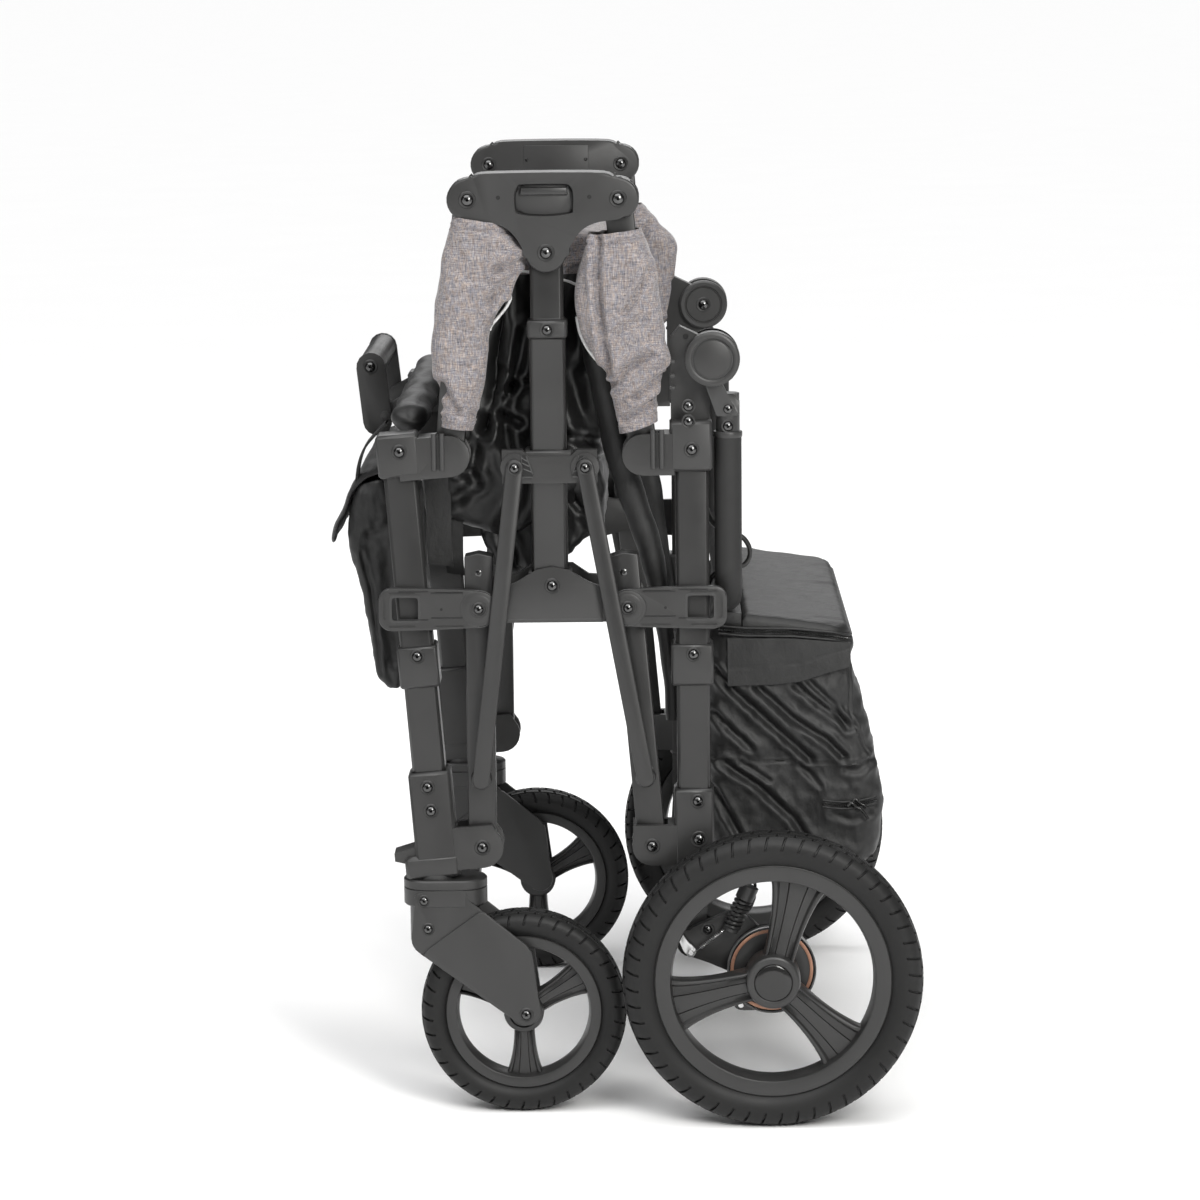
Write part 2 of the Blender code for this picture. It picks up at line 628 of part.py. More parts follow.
def front_frame(side, word):
    """Post, fork bracket and foot, in the leaning front frame's own coordinates."""
    half = POST_WIDTH / 2
    wall = POST_DEPTH / 2 + SLEEVE_WALL
    depth = out(side, -POST_DEPTH / 2, POST_DEPTH / 2)
    mid = [z - FRONT_POST_Z for z in MID_SLEEVE_Z]
    solid(f"front_post_{word}", FRAME_PAINT,
          [box((-half, half), depth, (FRONT_POST_LOW, FRONT_POST_HIGH), 3),
           box((-half - SLEEVE_WALL, half + SLEEVE_WALL), out(side, -wall, wall), mid, 2)],
          parent=front)
    top = to_front(FRONT_TOP)
    knuckle = ([(0, top[1] - 20.5)] + arc(top, 20.5, -90, 90, 10) + [(0, top[1] + 20.5)])
    shelf = RAIL_WIDTH / 2 + SWING
    clear = (-half - GAP, half + GAP)
    clear_y = out(side, -POST_DEPTH / 2 - GAP, POST_DEPTH / 2 + GAP)
    solid(f"front_top_bracket_{word}", MOULDED,
          [box((-half - 4.5, half + 4.5), out(side, -wall - 1, wall + 1), (288, FRONT_POST_HIGH + 4), 3),
           plate(knuckle, out(side, -FORK_OUT, FORK_OUT))],
          [box(clear, clear_y, (270, FRONT_POST_HIGH + GAP)),
           box((top[0] - shelf, top[0] + 60), out(side, -FORK_IN, FORK_IN), (top[1] - 60, top[1] + 60))],
          parent=front)
    low = to_front(FRONT_LOW)
    open_shelf = RAIL_WIDTH / 2 + OPEN_SWING
    fork = [(0, low[1] - 21)] + arc(low, 21, -90, 40, 8) + [(low[0] + 12, low[1] + 22), (0, low[1] + 22)]
    socket = to_front((CASTER_X, CASTER_Z))
    base = socket[1] + 4
    tab = [(-half - 26, base + 20), (-half - 26, base + 28), (-half, base + 34), (-half, base + 12)]
    solid(f"front_foot_{word}", MOULDED,
          [box((-half - 4.5, half + 4.5), out(side, -wall - 1, wall + 1), (base, -10), 3),
           plate(fork, out(side, -FORK_OUT, FORK_OUT)),
           box((-half - 16, half + 6), out(side, -wall - 2, wall + 2), (base, base + 24), 4),
           plate(tab, out(side, -14, 14))],
          [box(clear, clear_y, (FRONT_POST_LOW - GAP, 10)),
           box((low[0] - open_shelf, low[0] + 60), out(side, -FORK_IN, FORK_IN), (low[1] - 40, low[1] + 60)),
           stem(side, socket, base - 5, base + 26, 12 + BORE_CLEAR)],
          parent=front)


def stem(side, place, low, high, radius):
    """A vertical cylinder in the leaning front frame's coordinates."""

    def build(bm):
        bmesh.ops.create_cone(bm, cap_ends=True, segments=24, radius1=radius * MM,
                              radius2=radius * MM, depth=(high - low) * MM)
        spot = Vector((place[0], out(side, 0)[0], (low + high) / 2)) * MM
        bmesh.ops.translate(bm, vec=spot, verts=bm.verts)

    return mesh_object("stem", build)


def casters(side, word):
    hub = (FRONT_HUB_X, FRONT_RADIUS)
    centre = to_front(hub)
    socket = to_front((CASTER_X, CASTER_Z))
    plane = out(side, 0)[0]
    inner = FRONT_TYRE_WIDTH / 2 + 4
    outer = inner + 4
    seat = FRONT_RADIUS - FRONT_TYRE_TALL
    cheek = [to_front(p) for p in ((-246, 232), (-176, 232), (-158, 211), (-116, 166))]
    cheek += arc(centre, 15, 25, -120, 8)
    cheek += [to_front(p) for p in ((-150, 112), (-222, 168), (-228, 176))]
    bridge = [to_front(p) for p in ((-246, 236), (-246, 176), (-229, 172), (-226, 212), (-206, 222), (-172, 222),
                                    (-172, 236))]
    adds = [plate(bridge, out(side, 1 - outer, outer - 1)),
            plate(cheek, out(side, inner, outer)),
            plate(cheek, out(side, -outer, -inner)),
            stem(side, socket, socket[1] - 8, socket[1] + 28, 12),
            stem(side, socket, socket[1] - 12, socket[1] + 2, 24),
            cylinder(centre, 6, out(side, -inner - 2, inner + 2), 16)]
    solid(f"caster_fork_{word}", MOULDED, adds, pivot=(socket[0], plane, socket[1]), parent=front)
    solid(f"front_tyre_{word}", TYRE,
          [moved(tyre(FRONT_RADIUS, seat, FRONT_TYRE_WIDTH, 36), hub[0], plane, hub[1])],
          pivot=(hub[0], plane, hub[1]), smooth=50)
    shapes = wheel_shapes(seat - GAP, seat - FRONT_RIM_TALL, 24, 22, (30, 150, 270), 17, hub, plane, side)
    bore = cylinder(hub, 6 + BORE_CLEAR, out(side, -40, 40), 16)
    solid(f"front_wheel_{word}", WHEEL, shapes, [bore], pivot=(hub[0], plane, hub[1]))


def front_soft_parts():
    bar = to_front((-240, 702))
    reach = FRAME_HALF - POST_DEPTH / 2 - SLEEVE_WALL - 1 - GAP
    pull = to_front((-267, 688))
    adds = [cylinder(bar, 15, (-reach, reach), 20)]
    for sign in (-1, 1):
        adds.append(plate(capsule(bar, pull, 9), (sign * 88, sign * 95)))
    solid("front_crossbar", FOAM, adds, parent=front)
    top = to_front((-281, 738))
    foot = to_front((-275, 682))
    straps = []
    for sign in (-1, 1):
        straps.append(plate(capsule(foot, top, 15), (sign * 96, sign * 101)))
        straps.append(cylinder(pull, 5, (sign * 95.5, sign * 104), 12))
    solid("pull_handle", MOULDED, [cylinder(top, 14, (-98, 98), 24), *straps],
          pivot=(pull[0], 0, pull[1]), parent=front)
    outline = [(-300, 628), (-258, 634), (-240, 520), (-246, 424), (-268, 418), (-281, 491), (-291, 548),
               (-304, 556), (POUCH_TIP_X, 565), (-304, 600)]
    solid("front_pouch", BLACK_CLOTH, [plate([to_front(p) for p in outline], (-POUCH_HALF, POUCH_HALF))],
          parent=front)


def storage_basket():
    """An open box with a fixed strip along the top beside the handle, and a lid behind the strip."""
    fall = (BASKET_TOP - BASKET_BACK[1]) / (BASKET_BACK[0] - BASKET_FRONT_X)
    wall = BASKET_WALL
    mouth = (BASKET_LID_X, BASKET_TOP - fall * (BASKET_LID_X - BASKET_FRONT_X))
    outer = [(BASKET_FRONT_X, BASKET_TOP + LID_THICK), (mouth[0] - GAP, mouth[1] + LID_THICK),
             (mouth[0] - GAP, mouth[1]), BASKET_BACK, (228, 390), (244, 290), (240, 250), (222, 238),
             (92, 236), (76, 258), (72, 340)]
    inner = [(BASKET_FRONT_X + wall, BASKET_TOP - wall), (mouth[0] - 2 * GAP, mouth[1] - wall),
             (mouth[0] - 2 * GAP, mouth[1] + 50), (BASKET_BACK[0] - wall, BASKET_BACK[1] + 30),
             (228 - wall, 389), (244 - wall, 290), (240 - wall, 252), (221, 242), (93, 240), (80, 259),
             (76, 340)]
    top = BASKET_HALF
    solid("storage_basket", BLACK_CLOTH, [plate(outer, (-top, top))],
          [plate(inner, (-top + wall, top - wall))])
    rest = 0.6
    lid = [(mouth[0], mouth[1] + rest), (BASKET_BACK[0], BASKET_BACK[1] + rest),
           (BASKET_BACK[0] + 1, BASKET_BACK[1] + LID_THICK), (mouth[0], mouth[1] + LID_THICK)]
    solid("basket_lid", BLACK_CLOTH, [plate(lid, (-top - 1, top + 1))],
          pivot=(BASKET_BACK[0], 0, BASKET_BACK[1] + 1))


def cabin():
    outline = [(-150, 884), (-46, 884), (-32, 760), (-45, 640), (-62, 600), (-98, 566), (-150, 570),
               (-200, 600), (-202, 640), (-166, 700)]
    half = FRAME_HALF - FORK_OUT - 1 - 12
    solid("cabin_fabric", BLACK_CLOTH, [plate(outline, (-half, half))],
          pivot=(UPPER_REAR[0], 0, UPPER_REAR[1]))


def brake_cable():
    """From the near post, out in a slack loop behind the handle, and down to the brake."""
    y = -(FRAME_HALF - POST_DEPTH / 2 - SLEEVE_WALL - 5)
    route = [(60, y, 640), (61, y, 618), (66, y, 600), (76, y, 590), (88, y + 2, 586), (98, y + 3, 581),
             (104, y + 4, 572), (105, y + 4, 562), (100, y + 3, 554), (91, y + 2, 551), (80, y, 550),
             (70, y, 545), (63, y, 534), (60, y, 515), (60, y, 480), (60, y, 440), (60, y, 400),
             (60, y, 350), (61, y, 300), (64, y, 250), (68, y + 2, 226)]
    solid("brake_cable", CABLE, [tube(route, 2.5, 1)])


for word, side in SIDES.items():
    rear_frame(side, word)
    rear_wheel_set(side, word)
    centre_unit(side, word)
    links(side, word)
    rails(side, word)
    rail_sleeves(side, word)
    latches(side, word)
    front_frame(side, word)
    casters(side, word)
axle_frame()
push_handle()
front_soft_parts()
storage_basket()
cabin()
brake_cable()
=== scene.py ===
"""Looks for the folding pet stroller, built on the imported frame. Metres, +Z up, -Y is the near side."""
import json
import math

import bmesh
import bpy
import numpy as np
from mathutils import Matrix, Vector, noise


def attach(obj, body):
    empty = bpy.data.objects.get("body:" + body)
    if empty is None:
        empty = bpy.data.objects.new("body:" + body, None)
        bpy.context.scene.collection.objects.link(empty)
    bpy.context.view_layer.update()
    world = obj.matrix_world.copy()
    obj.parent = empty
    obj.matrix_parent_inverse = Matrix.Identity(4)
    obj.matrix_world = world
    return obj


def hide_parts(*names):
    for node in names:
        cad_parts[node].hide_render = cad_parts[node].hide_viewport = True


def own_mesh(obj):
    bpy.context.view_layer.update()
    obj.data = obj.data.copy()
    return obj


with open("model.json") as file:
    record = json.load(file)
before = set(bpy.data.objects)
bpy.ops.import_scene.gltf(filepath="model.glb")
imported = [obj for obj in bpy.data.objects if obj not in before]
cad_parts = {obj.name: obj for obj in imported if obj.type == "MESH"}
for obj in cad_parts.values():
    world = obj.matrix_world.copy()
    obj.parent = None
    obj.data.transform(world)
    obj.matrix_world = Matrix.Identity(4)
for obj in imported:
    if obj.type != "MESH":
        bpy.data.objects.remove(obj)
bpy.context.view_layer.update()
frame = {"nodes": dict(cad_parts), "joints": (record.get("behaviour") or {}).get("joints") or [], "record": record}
MM = 0.001
JOINTS = {joint["name"]: joint for joint in frame["joints"]}
SIDES = {"near": -1, "far": 1}
scene = bpy.context.scene


def pivot(joint):
    return Vector(JOINTS[joint]["pos_m"])


FRAME_HALF = -pivot("unfold").y
SHIFT = pivot("push_handle_tilt").x - 68 * MM   # side-view positions below are measured from here


def at(x, z, y=0.0):
    """A point from side-view millimetres and a depth in metres."""
    return Vector((SHIFT + x * MM, y, z * MM))


# ---------------------------------------------------------------- materials

def new_material(name, roughness=0.5, metallic=0.0, sheen=0.0, specular=0.5):
    made = bpy.data.materials.new(name)
    made.use_nodes = True
    nodes = made.node_tree.nodes
    shader = nodes["Principled BSDF"]
    shader.inputs["Roughness"].default_value = roughness
    shader.inputs["Metallic"].default_value = metallic
    shader.inputs["Specular IOR Level"].default_value = specular
    if sheen:
        shader.inputs["Sheen Weight"].default_value = sheen
        shader.inputs["Sheen Roughness"].default_value = 0.45
    return made, nodes, made.node_tree.links, shader


def coordinates(nodes, links, scale):
    place = nodes.new("ShaderNodeTexCoord")
    stretch = nodes.new("ShaderNodeMapping")
    stretch.inputs["Scale"].default_value = scale
    links.new(place.outputs["Object"], stretch.inputs["Vector"])
    return stretch.outputs["Vector"]


def noise_at(nodes, links, scale, detail=3.0, size=1.0, rough=0.5):
    made = nodes.new("ShaderNodeTexNoise")
    made.inputs["Scale"].default_value = size
    made.inputs["Detail"].default_value = detail
    made.inputs["Roughness"].default_value = rough
    links.new(coordinates(nodes, links, scale), made.inputs["Vector"])
    return made.outputs["Fac"]


def ramp(nodes, links, source, stops):
    made = nodes.new("ShaderNodeValToRGB")
    band = made.color_ramp
    while len(band.elements) < len(stops):
        band.elements.new(0.5)
    for element, (place, colour) in zip(band.elements, stops):
        element.position = place
        element.color = (*colour, 1) if len(colour) == 3 else colour
    links.new(source, made.inputs["Fac"])
    return made.outputs["Color"]


def bump(nodes, links, shader, height, strength, distance, chain=None):
    made = nodes.new("ShaderNodeBump")
    made.inputs["Strength"].default_value = strength
    made.inputs["Distance"].default_value = distance
    links.new(height, made.inputs["Height"])
    if chain:
        links.new(chain, made.inputs["Normal"])
    links.new(made.outputs["Normal"], shader.inputs["Normal"])
    return made.outputs["Normal"]


def grey(value, warm=0.0):
    return (value * (1 + warm), value, value * (1 - warm))


def painted_edge_highlight(nodes, links, colour, light):
    """Mixes a lighter tone in where edges stick out: a painted highlight along convex edges."""
    shape = nodes.new("ShaderNodeNewGeometry")
    mask = ramp(nodes, links, shape.outputs["Pointiness"], [(0.52, (0, 0, 0)), (0.62, (1, 1, 1))])
    mix = nodes.new("ShaderNodeMix")
    mix.data_type = "RGBA"
    links.new(mask, mix.inputs["Factor"])
    links.new(colour, mix.inputs["A"])
    mix.inputs["B"].default_value = (*light, 1)
    return mix.outputs["Result"]


def plastic_material(name, base, grain=2600, rough=(0.42, 0.58), strength=0.18, specular=0.5):
    made, nodes, links, shader = new_material(name, specular=specular)
    patches = noise_at(nodes, links, (14, 14, 14), 4)
    colour = ramp(nodes, links, patches, [(0.3, grey(base * 0.82, 0.02)), (0.7, grey(base * 1.2, 0.012))])
    # Convex edges get a lighter tone: a painted highlight.
    links.new(painted_edge_highlight(nodes, links, colour, grey(base * 1.7)), shader.inputs["Base Color"])
    smudge = noise_at(nodes, links, (55, 55, 55), 5)
    band = nodes.new("ShaderNodeMapRange")
    band.inputs["To Min"].default_value = rough[0]
    band.inputs["To Max"].default_value = rough[1]
    links.new(smudge, band.inputs["Value"])
    links.new(band.outputs["Result"], shader.inputs["Roughness"])
    bump(nodes, links, shader, noise_at(nodes, links, (grain, grain, grain), 2), strength, 0.0002)
    return made


def metal_material(name, base, roughness, metallic=1.0):
    made, nodes, links, shader = new_material(name, roughness, metallic)
    colour = ramp(nodes, links, noise_at(nodes, links, (90, 90, 90), 4),
                  [(0.3, grey(base * 0.85)), (0.7, grey(base * 1.15))])
    links.new(colour, shader.inputs["Base Color"])
    bump(nodes, links, shader, noise_at(nodes, links, (700, 700, 700), 2), 0.08, 0.0002)
    return made


def weave(nodes, links, pitch):
    """A plain weave: crossed thread waves along two directions."""
    heights = []
    for direction in ("X", "Z"):
        wave = nodes.new("ShaderNodeTexWave")
        wave.wave_type = "BANDS"
        wave.bands_direction = direction
        wave.inputs["Scale"].default_value = 0.05 / pitch * 6.28
        wave.inputs["Distortion"].default_value = 0.6
        wave.inputs["Detail"].default_value = 1.0
        wave.inputs["Detail Scale"].default_value = 2.0
        place = nodes.new("ShaderNodeTexCoord")
        links.new(place.outputs["Object"], wave.inputs["Vector"])
        heights.append(wave.outputs["Fac"])
    both = nodes.new("ShaderNodeMath")
    both.operation = "ADD"
    links.new(heights[0], both.inputs[0])
    links.new(heights[1], both.inputs[1])
    return both.outputs["Value"]


def black_cloth_material(name, base=0.006, roughness=0.52, sheen=0.03, pitch=0.0011, creased=0.28):
    made, nodes, links, shader = new_material(name, roughness, sheen=sheen, specular=0.5)
    colour = ramp(nodes, links, noise_at(nodes, links, (60, 60, 60), 5),
                  [(0.3, grey(base * 0.75)), (0.7, grey(base * 1.35))])
    links.new(colour, shader.inputs["Base Color"])
    crumple = noise_at(nodes, links, (60, 60, 45), 5, rough=0.6)
    chain = bump(nodes, links, shader, crumple, creased, 0.004)
    bump(nodes, links, shader, weave(nodes, links, pitch), 0.25, 0.0003, chain)
    return made


def heather_material(name):
    made, nodes, links, shader = new_material(name, 0.85, sheen=0.25, specular=0.25)
    upright = noise_at(nodes, links, (1200, 1200, 95), 4, rough=0.7)
    across = noise_at(nodes, links, (120, 120, 1500), 4, rough=0.7)
    threads = nodes.new("ShaderNodeMath")
    threads.operation = "ADD"
    links.new(upright, threads.inputs[0])
    links.new(across, threads.inputs[1])
    half = nodes.new("ShaderNodeMath")
    half.operation = "MULTIPLY"
    half.inputs[1].default_value = 0.5
    links.new(threads.outputs["Value"], half.inputs[0])
    tone = ramp(nodes, links, half.outputs["Value"],
                [(0.37, (0.055, 0.052, 0.064)), (0.45, (0.155, 0.142, 0.148)), (0.52, (0.245, 0.222, 0.222)),
                 (0.61, (0.41, 0.37, 0.35))])
    hue = ramp(nodes, links, noise_at(nodes, links, (420, 420, 160), 3),
               [(0.35, (0.80, 0.88, 1.0)), (0.5, (1, 1, 1)), (0.65, (1.0, 0.90, 0.80))])
    tint = nodes.new("ShaderNodeMix")
    tint.data_type = "RGBA"
    tint.blend_type = "MULTIPLY"
    tint.inputs["Factor"].default_value = 0.8
    links.new(tone, tint.inputs["A"])
    links.new(hue, tint.inputs["B"])
    links.new(tint.outputs["Result"], shader.inputs["Base Color"])
    chain = bump(nodes, links, shader, noise_at(nodes, links, (50, 50, 40), 4), 0.25, 0.004)
    bump(nodes, links, shader, half.outputs["Value"], 0.35, 0.0006, chain)
    return made


PAINT = plastic_material("frame_paint_look", 0.017, grain=1800, rough=(0.30, 0.46), strength=0.10)
MOULDED = plastic_material("moulded_look", 0.021, rough=(0.34, 0.52))
WHEEL_PLASTIC = plastic_material("wheel_look", 0.018, rough=(0.32, 0.46))
# Tyre rubber; also the near-black painted shade in the slider pockets, hinge grooves and latch slots.
RUBBER_AND_SHADE = plastic_material("tyre_look", 0.006, grain=1500, rough=(0.48, 0.62), strength=0.25, specular=0.34)
FOAM = plastic_material("foam_look", 0.008, grain=900, rough=(0.6, 0.75), strength=0.4)
CLOTH = black_cloth_material("black_cloth_look")
SATIN = black_cloth_material("black_satin_look", 0.005, 0.38, 0.02, 0.0008, 0.12)
HEATHER = heather_material("heather_look")
BOLT = metal_material("black_bolt_look", 0.10, 0.22)
ZINC = metal_material("zinc_look", 0.55, 0.28)
COPPER, copper_nodes, copper_links, copper_shader = new_material("friction_band_look", 0.5, 0.6)
copper_links.new(ramp(copper_nodes, copper_links, noise_at(copper_nodes, copper_links, (60, 60, 60)),
                      [(0.3, (0.30, 0.15, 0.10)), (0.7, (0.45, 0.25, 0.17))]),
                 copper_shader.inputs["Base Color"])
PIPING, piping_nodes, piping_links, piping_shader = new_material("piping_look", 0.4)
piping_links.new(ramp(piping_nodes, piping_links, noise_at(piping_nodes, piping_links, (400, 400, 400)),
                      [(0.3, grey(0.62)), (0.7, grey(0.8))]), piping_shader.inputs["Base Color"])
GLOSS = plastic_material("gloss_black_look", 0.012, rough=(0.12, 0.2), strength=0.02)
PALE = metal_material("drum_rim_look", 0.42, 0.42)
CABLE = plastic_material("cable_look", 0.012, rough=(0.3, 0.4), strength=0.05)
LOOKS = {"frame_paint": PAINT, "moulded_plastic": MOULDED, "tyre_rubber": RUBBER_AND_SHADE,
         "wheel_plastic": WHEEL_PLASTIC, "grip_foam": FOAM, "black_cloth": CLOTH,
         "heather_cloth": HEATHER, "cable_sheath": CABLE}
slots = {part["node"]: part["material_slot"] for part in frame["record"]["subparts"]}
for name, node in frame["nodes"].items():
    node.data.materials.clear()
    node.data.materials.append(LOOKS[slots[name]])
    node.data.shade_smooth()
    node.data.set_sharp_from_angle(angle=math.radians(35))


# ---------------------------------------------------------------- shapes

BODY = {node: body for body, nodes in frame["record"]["behaviour"]["bodies"].items() for node in nodes}


WELD = 2e-6      # vertices of one piece closer than this, in metres, become one


class Piece:
    """Shapes gathered into one mesh, each with its own look."""

    def __init__(self, name):
        self.name = name
        self.bm = bmesh.new()
        self.looks = []

    def paint(self, faces, look):
        if look not in self.looks:
            self.looks.append(look)
        for face in faces:
            face.material_index = self.looks.index(look)
            face.smooth = True

    def skin(self, rows, look, round_rows=False, round_points=False):
        """Quads over rows of points; the round options join last to first."""
        grid = [[self.bm.verts.new(point) for point in row] for row in rows]
        across = len(grid[0])
        faces = []
        for i in range(len(grid) - (0 if round_rows else 1)):
            low, high = grid[i], grid[(i + 1) % len(grid)]
            for j in range(across - (0 if round_points else 1)):
                k = (j + 1) % across
                faces.append(self.bm.faces.new((low[j], low[k], high[k], high[j])))
        self.paint(faces, look)
        return grid

    def turn(self, profile, place, look, steps=32, closed=False):
        """A profile of (radius, height) in millimetres turned about the place's Z axis."""
        rows = []
        for radius, height in profile:
            rows.append([place @ Vector((radius * MM * math.cos(a), radius * MM * math.sin(a), height * MM))
                         for a in np.linspace(0, 2 * math.pi, steps, endpoint=False)])
        self.skin(rows, look, closed, True)

    def slab(self, outline, lows, look, soften=0.0, segments=2):
        """A side-view outline extruded between two depths, its rim rounded."""
        low, high = lows
        bottom = [self.bm.verts.new(at(x, z, low)) for x, z in outline]
        top = [self.bm.verts.new(at(x, z, high)) for x, z in outline]
        count = len(outline)
        faces = [self.bm.faces.new(bottom[::-1]), self.bm.faces.new(top)]
        rims = [edge for face in faces for edge in face.edges]
        for i in range(count):
            j = (i + 1) % count
            faces.append(self.bm.faces.new((bottom[i], bottom[j], top[j], top[i])))
        self.paint(faces, look)
        if soften:
            made = bmesh.ops.bevel(self.bm, geom=rims, offset=soften * MM, segments=segments,
                                   affect="EDGES", profile=0.5, clamp_overlap=True)
            self.paint(made["faces"], look)

    def tube(self, route, radius, look, sides=12, caps=True):
        """A round bar along points in metres; radius in millimetres, one value or one for each point."""
        route = [Vector(p) for p in route]
        radii = np.broadcast_to(np.asarray(radius, float), (len(route),))
        rows = []
        across = None
        for i, point in enumerate(route):
            heading = (route[min(i + 1, len(route) - 1)] - route[max(i - 1, 0)]).normalized()
            if across is None:
                across = heading.orthogonal().normalized()
            across = (across - heading * across.dot(heading)).normalized()
            up = heading.cross(across)
            rows.append([point + (across * math.cos(a) + up * math.sin(a)) * radii[i] * MM
                         for a in np.linspace(0, 2 * math.pi, sides, endpoint=False)])
        grid = self.skin(rows, look, False, True)
        if caps:
            self.paint([self.bm.faces.new(grid[0][::-1]), self.bm.faces.new(grid[-1])], look)

    def done(self, body, angle=38, replaces=()):
        bmesh.ops.remove_doubles(self.bm, verts=self.bm.verts, dist=WELD)
        bmesh.ops.recalc_face_normals(self.bm, faces=self.bm.faces)
        mesh = bpy.data.meshes.new(self.name)
        self.bm.to_mesh(mesh)
        self.bm.free()
        for look in self.looks:
            mesh.materials.append(look)
        mesh.set_sharp_from_angle(angle=math.radians(angle))
        obj = bpy.data.objects.new(self.name, mesh)
        scene.collection.objects.link(obj)
        if body:
            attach(obj, body)
        if replaces:
            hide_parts(*replaces)
        return obj


def rounded(points, steps=6, closed=True):
    """A smooth line through side-view points."""
    made = []
    count = len(points)
    spans = count if closed else count - 1
    for i in range(spans):
        four = [np.array(points[(i + k) % count] if closed else points[min(max(i + k, 0), count - 1)], float)
                for k in (-1, 0, 1, 2)]
        for step in range(steps):
            t = step / steps
            made.append(tuple(0.5 * (2 * four[1] + (four[2] - four[0]) * t
                                     + (2 * four[0] - 5 * four[1] + 4 * four[2] - four[3]) * t * t
                                     + (3 * four[1] - four[0] - 3 * four[2] + four[3]) * t ** 3)))
    if not closed:
        made.append(tuple(points[-1]))
    return made


def resampled(points, count):
    """Points spread evenly along a smooth line through the given ones."""
    line = np.array(rounded(points, 8, False), float)
    reach = np.concatenate([[0], np.cumsum(np.linalg.norm(np.diff(line, axis=0), axis=1))])
    wanted = np.linspace(0, reach[-1], count)
    return np.stack([np.interp(wanted, reach, line[:, k]) for k in range(line.shape[1])], 1)


def facing(side, x, z, out):
    """A place on a side whose Z axis points outward; out is millimetres beyond the frame plane."""
    return (Matrix.Translation(at(x, z, off_plane(side, out)))
            @ Matrix.Rotation(math.radians(-90 * side), 4, "X"))


def softened(node, width=1.4, look=None):
    """A CAD solid with its sharp edges rounded over, standing for that solid."""
    source = frame["nodes"][node]
    mesh = source.data.copy()
    mesh.transform(source.matrix_world)
    bm = bmesh.new()
    bm.from_mesh(mesh)
    bmesh.ops.remove_doubles(bm, verts=bm.verts, dist=2e-6)
    bmesh.ops.dissolve_limit(bm, angle_limit=math.radians(1.5), verts=bm.verts, edges=bm.edges)
    bm.to_mesh(mesh)
    bm.free()
    holder = bpy.data.objects.new(node + "_rounded", mesh)
    scene.collection.objects.link(holder)
    bevel = holder.modifiers.new("round", "BEVEL")
    bevel.width = width * MM
    bevel.segments = 2
    bevel.limit_method = "ANGLE"
    bevel.angle_limit = math.radians(38)
    bevel.harden_normals = True
    bpy.context.view_layer.update()
    graph = bpy.context.evaluated_depsgraph_get()
    made = bpy.data.meshes.new_from_object(holder.evaluated_get(graph))
    holder.modifiers.clear()
    holder.data = made
    if look:
        made.materials.clear()
        made.materials.append(look)
    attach(holder, BODY[node])
    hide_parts(node)
    return holder


# ---------------------------------------------------------------- frame, bolts and mouldings

SOFTENED = ("rear_post", "rear_top_bracket", "centre_post", "slider", "link_front",
            "link_rear", "upper_rail_rear", "upper_rail_front", "lower_rail_rear", "lower_rail_front",
            "front_post", "front_top_bracket", "front_foot", "rear_swing_arm")


def bolt(piece, place, radius=5.2, recess=True):
    """A domed bolt head in a shallow dished seat."""
    dome = [(radius * math.sin(a), 0.4 + radius * 0.55 * math.cos(a)) for a in np.linspace(0, math.pi / 2, 7)]
    piece.turn([(0.8, dome[0][1] - 0.9), (1.5, dome[0][1] - 0.1)] + dome[2:] + [(radius, -0.5)], place,
               BOLT, 20)
    if recess:
        wide = radius * 1.55
        piece.turn([(radius + 0.1, -0.3), (radius + 0.5, 0.25), (wide - 0.8, 0.5), (wide, -0.2)], place,
                   PAINT, 24)


FRONT_LEAN = 4.46     # degrees, the front post's lean
FRONT_FOOT_Z = 363    # where the leaning front post starts


def bolts(side, word):
    """Dome-head bolts: for each body a list of (x, z, depth of the seat, head radius)."""
    lean = math.tan(math.radians(FRONT_LEAN))
    post_bolt = (-218.5 - (471 - FRONT_FOOT_Z) * lean, 471, 19.0, 4.8)
    seats = {
        f"centre_{word}": [(-23, 923, 20.6, 5.6), (-170, 923, 20.6, 5.6), (-94, 871, 20.6, 5.6),
                           (-94, 795, 18.2, 4.8), (-92, 541, 17.9, 5.0)],
        f"link_front_{word}": [(-127.5, 660, 28.0, 4.6)],
        f"link_rear_{word}": [(-58, 660, 28.0, 4.6)],
        f"latch_front_{word}": [(-165, 519, 23.4, 4.6)],
        f"latch_rear_{word}": [(-17, 519, 23.4, 4.6)],
        f"lower_front_{word}": [(-165, 553, 9.2, 5.6)],
        f"lower_rear_{word}": [(-21, 553, 9.2, 5.6)],
        "rear_frame": [(47, 676, 20.0, 5.0), (47.5, 471, 19.0, 4.8), (51, 322, 20.0, 4.8),
                       (52, 283, 20.0, 5.4), (5, 276, 19.6, 5.2)],
        "push_handle": [(83, 715, 12.6, 4.6), (83, 698, 12.6, 4.6)],
        "front_frame": [(-241, 676, 20.0, 5.0), post_bolt, (-219, 338, 20.0, 4.8),
                        (-216, 314, 20.0, 4.8), (-165, 276, 19.6, 5.2)],
        f"caster_{word}": [(-224, 223, 26.2, 4.2), (-220.5, 194, 26.2, 4.2), (-123, 105, 28.2, 4.8)],
    }
    for body, places in seats.items():
        piece = Piece(f"bolts_{body}_{word}" if word not in body else f"bolts_{body}")
        for place in places:
            bolt(piece, facing(side, *place[:3]), place[3])
        piece.done(body)


